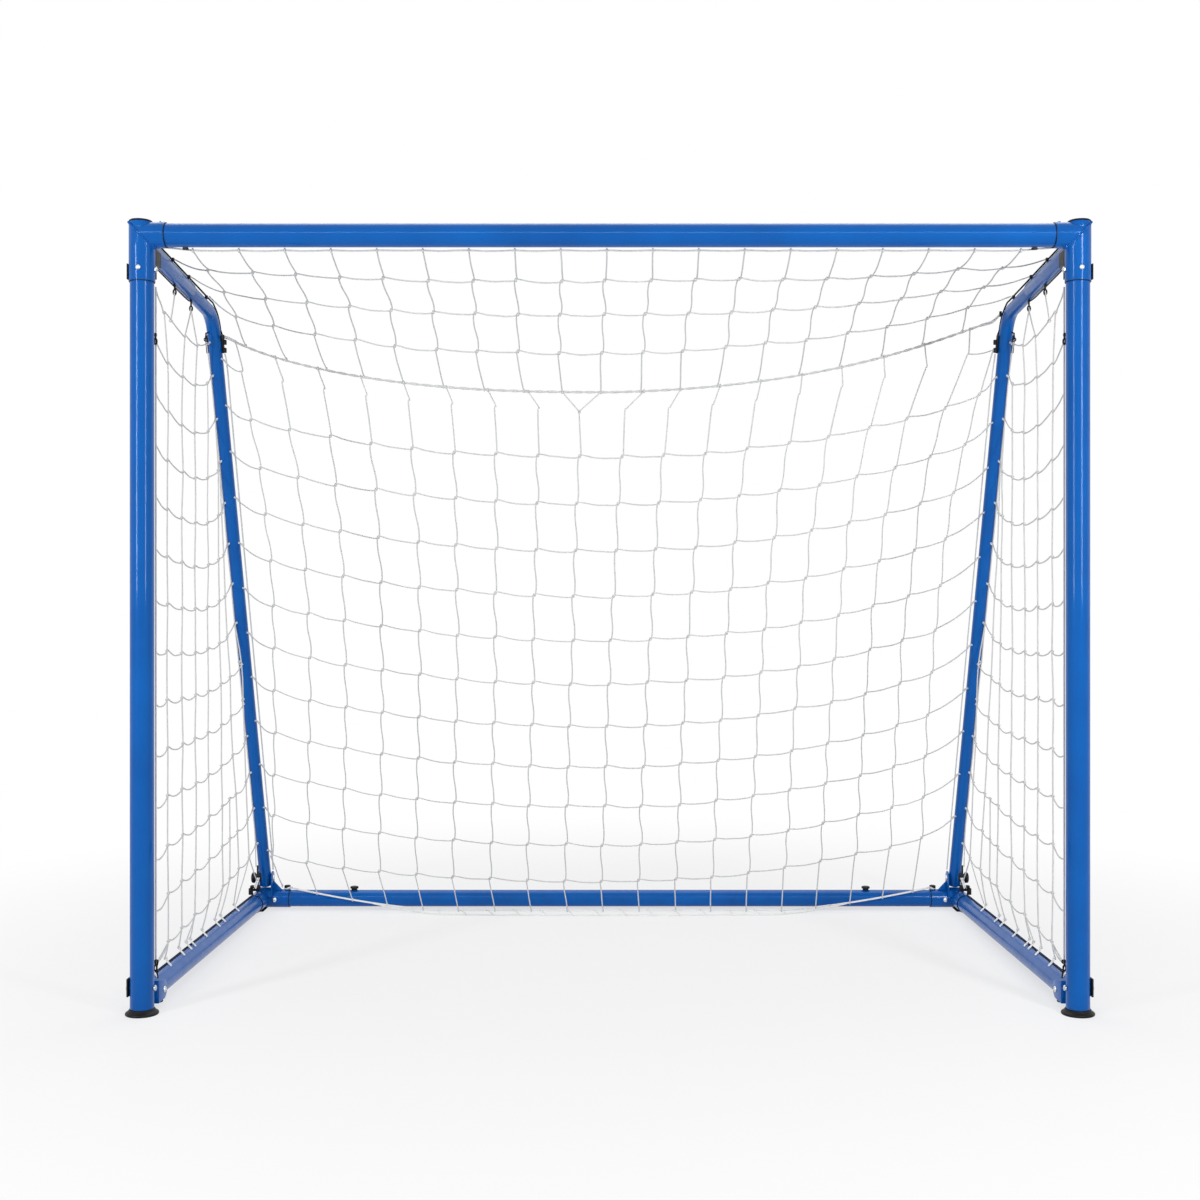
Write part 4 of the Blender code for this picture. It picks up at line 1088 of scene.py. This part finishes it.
def make_side(side):
    """Side panel: straight upright cords, and rows that hang between them in scallops."""
    name = NAMES[side]
    curve = new_cords(name + "_side_net")
    uprights = side_knots(side)
    for (_, lean, first, feet), knots in zip(SIDE_CORDS, uprights):
        for place in knots.values():
            tie_knot(curve, *side_knot_ends(place), ACROSS)
        route = list(knots.values())
        if 1 < first < 11:
            top = knots[first]
            climb = (hoop_leg(top.z) - LEG_GAP - (top.y - POST_Y)) / (LEG_SLOPE - lean)
            route.insert(0, leg_edge(side, top.z + min(climb, MESH), LEG_GAP))
        lay(curve, smooth(route, 3))
        for y in feet:
            foot = round_bar(side, y, 13, 0.0115)
            if y > 0.85:
                foot = at(side * (POST_X - 0.002), 0.945, 0.078)
            strand(curve, route[-1], foot, 0.003)
    for row in range(SIDE_ROWS):
        hang_row(curve, side, row, [knots[row] for knots in uprights if row in knots])
    hang_top(curve, side, uprights)
    edge = [post_edge(side, side_ends(row)[0] + 0.004) for row in range(SIDE_ROWS)]
    lay(curve, smooth(edge, 3), 1.2)
    head = on_leg(side, 1.367, 0.036) + ACROSS * side * 0.010
    line = [leg_edge(side, 1.300 - 0.05 * i, 0.0145, 0.0122) + wander(0.0005) for i in range(23)]
    lay(curve, smooth([head, *line, at(side * 0.896, 0.955, 0.1150)], 2), 0.85)
    finish_cords(curve, CORD, "ground_frame", ["net_side_" + name])


def side_knot_ends(place):
    """The low end of a side knot, where its row arrives, and the high end, where it leaves."""
    way = UP * 0.0027 + BACK * 0.0020
    return place - way, place + way


def hang_row(curve, side, row, knots):
    """One row of a side panel, from its loop on the post to its tie on the leg."""
    post_z, leg_z = side_ends(row)
    tie = leg_edge(side, leg_z, LEG_GAP)
    route = [post_edge(side, post_z)]
    for place in knots:
        low, high = side_knot_ends(place)
        slack = min(0.008, 0.002 + 0.0007 * row) + chance.uniform(-0.001, 0.001)
        route += hang(route[-1], low, slack * min(1.0, (low - route[-1]).length / MESH))
        route += [low, high]
    route += [*hang(route[-1], tie, 0.004), tie]
    lay(curve, smooth(route, 2))
    lay(curve, [tie - UP * 0.003, tie + BACK * 0.003 + UP * 0.003 - ACROSS * side * 0.006,
                tie + BACK * 0.007 + UP * 0.006 - ACROSS * side * 0.010], 1.7)


def hang_top(curve, side, uprights):
    """Cords by which the top row hangs from the two clips under the run."""
    first, second = (on_run(side, y, CLIP_DROP + 0.004) for y in CLIP_DEPTHS)
    between = at(hoop_x(side, 0.184), 0.184, 1.356)
    ends = ((first, between), (second, uprights[1][0]), (second, uprights[2][0]))
    for start, end in ends:
        strand(curve, start, end, 0.001, 1)
    tie_knot(curve, *side_knot_ends(between), ACROSS)
    for hook in (first, second):
        eyelet(curve, hook, 1.0)


def post_edge(side, z):
    """Point on the side panel's front edge, behind the post."""
    return at(side * (POST_X - 0.0190), 0.0245, z)


def leg_edge(side, z, forward, out=0.012):
    """Point on the side panel's edge, in front of the leg and a little outside it."""
    return on_leg(side, z, forward) + ACROSS * side * out


def twisted(curve, points, strands, radius, pitch, weight=1.0):
    """Lay strands round a route as a rope is laid."""
    travelled = 0.0
    turns = [0.0]
    for a, b in zip(points, points[1:]):
        travelled += (b - a).length
        turns.append(math.tau * travelled / pitch)
    for strand in range(strands):
        route = []
        for i, point in enumerate(points):
            way = (points[min(i + 1, len(points) - 1)] - points[max(i - 1, 0)]).normalized()
            first = way.cross(UP).normalized()
            second = way.cross(first)
            angle = turns[i] + math.tau * strand / strands
            route.append(point + (first * math.cos(angle) + second * math.sin(angle)) * radius)
        lay(curve, route, weight)


def make_rear_rope():
    """Two cords twisted together, which part before the hooks that hold them."""
    curve = new_cords("rear_top_rope")
    reach = ROPE_REACH - 0.006
    points = [rope_point(-reach + 2 * reach * i / 280) for i in range(281)]
    twisted(curve, points, 2, 0.0013, 0.055, 1.15)
    for side in NAMES:
        end, hook = rope_point(side * reach), rope_hook(side)
        for lift in (0.0016, -0.0026):
            lay(curve, smooth([rope_point(side * (reach - 0.030)) + UP * lift * 0.5,
                               end + UP * lift, hook + UP * lift * 0.3]), 1.1)
    finish_cords(curve, CORD, "ground_frame", ["rear_rope"])


def rope_hook(side):
    """Where the rope is hooked: at the left collar, and at the bend of the right hoop."""
    if side < 0:
        return at(-(POST_X - 0.0285), 0.5000, 1.3765)
    return at(POST_X - 0.0255, 0.4790, 1.4250)


def make_hem():
    """Hem cord from pin to pin, and the slack cord laced to it on the floor."""
    curve = new_cords("hem_cords")
    upper = [hem_point(-HEM_REACH + 2 * HEM_REACH * i / 120) for i in range(121)]
    lay(curve, upper, 1.5)
    lower = []
    reach = 0.60
    for i in range(91):
        x = -reach + 2 * reach * i / 90
        sag = 1 - (abs(x) / reach) ** 3
        lower.append(hem_point(x) - BACK * (0.004 + 0.030 * sag) - UP * 0.0055 * min(1.0, sag * 2))
    lay(curve, lower, 1.25)
    for i in range(2, 88, 5):
        near = min(upper, key=lambda point: (point - lower[i]).length)
        lay(curve, smooth([near + UP * 0.002, near - BACK * 0.004 + UP * 0.002,
                           lower[i + 1] + UP * 0.002, lower[i + 1] - BACK * 0.003]), 0.9)
    for side in NAMES:
        pin = at(side * LOCK_PIN_X, REAR_Y, REAR_Z + GROUND_SLEEVE_R + 0.0025)
        end = hem_point(side * HEM_REACH)
        lay(curve, smooth([end, end.lerp(pin, 0.5) + UP * 0.002, pin - BACK * 0.0070]), 1.5)
        lay(curve, circle(pin, ACROSS, BACK, 0.0070, 20), 1.1)
    finish_cords(curve, TIE_CORD, "ground_frame", ["hem_rope"], folds=False)


def make_lacing(side):
    """Black cords along the side bar's top and the white cord laced round them."""
    name = NAMES[side]
    dark = new_cords(name + "_bottom_edge")
    for angle in (9, 29):
        run = [round_bar(side, 0.050 + 0.865 * i / 30, angle + 1.2 * math.sin(2.3 * i), 0.0009)
               for i in range(31)]
        lay(dark, smooth(run, 2), 0.65)
    finish_cords(dark, DARK_CORD, "ground_frame", folds=False)

    tail = new_cords(name + "_post_loop")
    loop = at(side * (POST_X - 0.0195), 0.0270, 0.094)
    lay(tail, smooth([loop - UP * 0.034 + BACK * 0.010, loop - UP * 0.012,
                      *circle(loop, ACROSS, UP, 0.0030, 10), loop - UP * 0.012 + BACK * 0.002], 2))
    finish_cords(tail, DARK_CORD, "front_frame", folds=False)

    white = new_cords(name + "_lacing")
    for y in LACING_DEPTHS:
        for step in (-0.0014, 0.0014):
            stroke = [(15, 0.005, 0.0130), (12, 0.004, 0.0085), (6, 0.001, 0.0050),
                      (-2, -0.003, 0.0028), (-12, -0.007, 0.0014), (-22, -0.010, 0.0)]
            lay(white, smooth([round_bar(side, y + step + ahead, angle, lift)
                               for angle, ahead, lift in stroke]), 1.0)
        knot = round_bar(side, y + 0.005, 14, 0.0125)
        tie_knot(white, knot - BACK * 0.002, knot + BACK * 0.002, ACROSS)
    knot = at(side * (POST_X + 0.001), 0.036, 0.0600)
    tie_knot(white, knot - UP * 0.002, knot + UP * 0.002, ACROSS)
    finish_cords(white, TIE_CORD, "ground_frame", folds=False)


def round_bar(side, y, angle, lift):
    """Point round the side bar, an angle in degrees outward from its top and a lift off it."""
    turn, reach = math.radians(angle), GROUND_R + lift
    return at(side * (POST_X + reach * math.sin(turn)), y, side_bar_z(y) + reach * math.cos(turn))


def make_clip(name, top, drop, body):
    """Black spring hook: a foot on the tube and an oval eye below it that faces the mouth."""
    shape = bmesh.new()
    block(shape, top - Vector((0.0022, 0.004, 0.004)), top + Vector((0.0022, 0.004, 0.002)), 0.0010)
    eye = top - UP * drop
    ring = [eye + ACROSS * math.cos(a) * 0.0027 + UP * math.sin(a) * 0.0052
            for a in (math.tau * i / 20 for i in range(21))]
    sweep(shape, ring, 0.0018, 8, caps=False)
    sweep(shape, [top - UP * 0.003, eye + UP * 0.0052], 0.0019, 8)
    add_piece(name, shape, BLACK, body)


def run_radius(y):
    """Radius of the hoop's run at a depth: its front sleeve's, then the tube's."""
    return HOOP_SLEEVE_R if y < 0.31 else HOOP_R


def make_clips(side):
    """Hooks under the run, on the crossbar and behind the post."""
    name = NAMES[side]
    for i, y in enumerate(CLIP_DEPTHS):
        tube = HOOP_SLEEVE_R if i == 0 else HOOP_R
        make_clip(f"{name}_run_clip_{i}", on_run(side, y, tube + 0.001), CLIP_DROP - tube - 0.001,
                  "back_hoops")
    flat = bmesh.new()
    place = at(side * 0.8105, 0.004, CROSSBAR_Z - FRONT_R - 0.0022)
    lump(flat, place, (0.0055, 0.0030, 0.0020), 0.0008)
    add_piece(name + "_crossbar_clip", flat, BLACK, "front_frame")
    tabs = bmesh.new()
    for y in ROOF_TIES:
        tab = on_run(side, y) - ACROSS * side * run_radius(y) * 0.85 + UP * run_radius(y) * 0.75
        block(tabs, tab - Vector((0.0030, 0.0035, 0.0030)), tab + Vector((0.0030, 0.0035, 0.0050)),
              0.0010)
    add_piece(name + "_roof_hooks", tabs, BLACK, "back_hoops")
    for i, z in enumerate((1.300, 0.098)):
        make_clip(f"{name}_post_clip_{i}", at(side * (POST_X - 0.0205), 0.0170, z), 0.014,
                  "front_frame")


def make_run_edges(side):
    """Black edge cords of the side panel, under the run, and of the roof, over the run and bend."""
    name = NAMES[side]
    under = new_cords(name + "_side_edge")
    lay(under, smooth([on_run(side, y, run_radius(y) + 0.0018)
                       + ACROSS * side * 0.004 + wander(0.0003)
                       for y in (0.040, 0.10, 0.16, 0.211, 0.27, 0.30, 0.328)], 3), 0.9)
    finish_cords(under, DARK_CORD, "back_hoops", folds=False)
    edge = new_cords(name + "_run_edge")
    points = []
    for i in range(24):
        y = 0.040 + 0.41 * i / 23
        points.append(on_run(side, y) + UP * (HOOP_SLEEVE_R * 0.80) - ACROSS * side
                      * (HOOP_SLEEVE_R * 0.80))
    path = hoop_path(side)
    for before, here, after in zip(path[8:], path[9:], path[10:25]):
        way = (after - before).normalized()
        outward = way.cross(ACROSS).normalized()
        if outward.y < 0:
            outward = -outward
        points.append(here + outward * HOOP_R * 0.75 - ACROSS * side * HOOP_R * 0.85)
    points.append(on_leg(side, COLLAR_TOP) - ACROSS * side * (HOOP_R + 0.003) + BACK * 0.004)
    lay(edge, smooth(points, 2), 1.3)
    finish_cords(edge, DARK_CORD, "back_hoops", folds=False)


def make_cleats(side):
    """Black hooks beside the collar and the buckles at the leg's foot that tension the net."""
    name = NAMES[side]
    top = bmesh.new()
    rope = rope_hook(side)
    lump(top, rope, (0.0025, 0.0035, 0.0060), 0.0012)
    inner = on_leg(side, (COLLAR_TOP + COLLAR_LOW) / 2 - 0.004) - ACROSS * side * (COLLAR_R + 0.002)
    for lift in (-0.009, 0.009):
        lump(top, inner + UP * lift, (0.0030, 0.0040, 0.0055), 0.0014)
    hook = on_leg(side, 1.368, 0.037) + ACROSS * side * 0.010
    sweep(top, circle(hook, ACROSS, UP, 0.0038, 20), 0.0014, 8, caps=False)
    stem = [hook + UP * 0.0035, hook + UP * 0.014, hook + UP * 0.018 + BACK * 0.016]
    sweep(top, stem, 0.0018, 8)
    add_piece(name + "_collar_hooks", top, BLACK, "back_hoops")

    low = bmesh.new()
    upper, lower = at(side * 0.886, 0.945, 0.0898), at(side * 0.8935, 0.938, 0.0640)
    for place, half in ((upper, (0.0058, 0.005, 0.0100)), (lower, (0.0125, 0.006, 0.0070))):
        lump(low, place, half, 0.0018)
    block(low, lower + Vector((side * 0.0115 - 0.0050, -0.005, -0.0165)),
          lower + Vector((side * 0.0115 + 0.0050, 0.005, 0.0)), 0.0014)
    block(low, upper + Vector((side * 0.004 - 0.0022, 0.001, 0.008)),
          upper + Vector((side * 0.004 + 0.0022, 0.004, 0.0300)), 0.0008)
    sweep(low, circle(lower - BACK * 0.008 + ACROSS * side * 0.006, ACROSS, UP, 0.0050, 20), 0.0013, 8,
          caps=False)
    add_piece(name + "_net_buckles", low, BLACK, "ground_frame")
    strap = new_cords(name + "_buckle_cord")
    for step in (-0.002, 0.002):
        lay(strap, smooth([upper - BACK * 0.007 + ACROSS * step, upper.lerp(lower, 0.5) - BACK * 0.009
                           + ACROSS * step, lower - BACK * 0.007 + ACROSS * step]), 1.2)
    finish_cords(strap, TIE_CORD, "ground_frame", folds=False)


# Stage

def make_stage():
    """Pale floor that melts into a white backdrop a few steps away from the goal."""
    material, tree, shader, place = start_material("studio_floor_white")
    shader.inputs["Base Color"].default_value = linear("F4F4F6")
    shader.inputs["Roughness"].default_value = 0.8
    shader.inputs["Specular IOR Level"].default_value = 0.2
    away = add(tree, "ShaderNodeVectorMath", links={0: place}, operation="LENGTH")
    melt = add(tree, "ShaderNodeMapRange", {"From Min": 0.5, "From Max": 2.3, "To Min": 0.58,
                                            "To Max": 1.0}, {"Value": away.outputs["Value"]},
               interpolation_type="SMOOTHSTEP")
    glow = add(tree, "ShaderNodeEmission", {"Color": (1.0, 1.0, 1.0, 1.0), "Strength": 1.0})
    share = add(tree, "ShaderNodeMath", links={0: seen_rays(tree), 1: melt.outputs["Result"]},
                operation="MULTIPLY")
    both = add(tree, "ShaderNodeMixShader", links={0: share.outputs[0], 1: shader.outputs[0],
                                                   2: glow.outputs[0]})
    tree.links.new(both.outputs[0], tree.nodes["Material Output"].inputs["Surface"])
    shape = bmesh.new()
    bmesh.ops.create_grid(shape, x_segments=1, y_segments=1, size=40.0)
    mesh = bpy.data.meshes.new("floor")
    shape.to_mesh(mesh)
    shape.free()
    floor = bpy.data.objects.new("floor", mesh)
    mesh.materials.append(material)
    bpy.context.scene.collection.objects.link(floor)

    world = bpy.data.worlds.new("studio")
    bpy.context.scene.world = world
    world.use_nodes = True
    tree = world.node_tree
    background = tree.nodes["Background"]
    background.inputs["Color"].default_value = (1.0, 1.0, 1.0, 1.0)
    level = add(tree, "ShaderNodeMapRange", {"To Min": 0.26, "To Max": 1.0}, {"Value": seen_rays(tree)})
    tree.links.new(level.outputs["Result"], background.inputs["Strength"])


def seen_rays(tree):
    """1 for camera, glossy and transmission rays, which see the backdrop as white."""
    paths = add(tree, "ShaderNodeLightPath")
    first = add(tree, "ShaderNodeMath", links={0: paths.outputs["Is Camera Ray"],
                                               1: paths.outputs["Is Glossy Ray"]}, operation="MAXIMUM")
    both = add(tree, "ShaderNodeMath", links={0: first.outputs[0],
                                              1: paths.outputs["Is Transmission Ray"]},
               operation="MAXIMUM")
    return both.outputs[0]


def add_lamp(name, place, target, size, power):
    """Rectangular lamp that shows in reflections but not to the camera."""
    lamp = bpy.data.lights.new(name, "AREA")
    lamp.shape = "RECTANGLE"
    lamp.size, lamp.size_y = size
    lamp.energy = power
    holder = bpy.data.objects.new(name, lamp)
    bpy.context.scene.collection.objects.link(holder)
    holder.visible_camera = False
    holder.location = place
    holder.rotation_euler = (Vector(target) - Vector(place)).to_track_quat("-Z", "Y").to_euler()


def make_camera():
    """Level camera in front of the mouth, as the photograph was taken."""
    focal_px, frame_px, shift_px = 1531, 1200, 10
    lens = bpy.data.cameras.new("camera")
    lens.sensor_width = 36.0
    lens.lens = lens.sensor_width * focal_px / frame_px
    lens.shift_x = -shift_px / frame_px
    camera = bpy.data.objects.new("camera", lens)
    bpy.context.scene.collection.objects.link(camera)
    camera.location = at(0.0, -2.92, 0.79)
    camera.rotation_euler = (math.radians(90), 0.0, 0.0)
    bpy.context.scene.camera = camera


make_camera()
make_stage()
add_lamp("overhead", (0.0, 1.7, 4.0), (0.0, 0.6, 0.0), (4.0, 2.6), 66)
add_lamp("crossbar_strip", at(0.0, -3.0, 2.30), at(0.0, 0.0, CROSSBAR_Z), (4.4, 0.25), 27)
add_lamp("left_strip", at(-2.38, -2.29, 1.50), at(-POST_X, 0.0, 1.2), (0.35, 1.4), 40)
add_lamp("right_strip", at(1.70, -2.10, 1.50), at(POST_X, 0.0, 1.2), (0.35, 1.4), 34)
bpy.context.scene.view_settings.view_transform = "Standard"

make_crossbar()
make_rear_bar()
for side in NAMES:
    make_post(side)
    make_top_corner(side)
    make_corner_fixings(side)
    make_foot(side)
    make_hinge_bracket(side)
    keep_node("hoop_cradle_" + NAMES[side], BLACK)
    make_side_bar(side)
    make_rear_corner(side)
    make_rear_fixings(side)
    make_hoop(side)
    make_hoop_foot(side)
    make_collar(side)
    make_side(side)
    make_lacing(side)
    make_clips(side)
    make_run_edges(side)
    make_cleats(side)
make_roof()
make_back()
make_rear_rope()
make_hem()
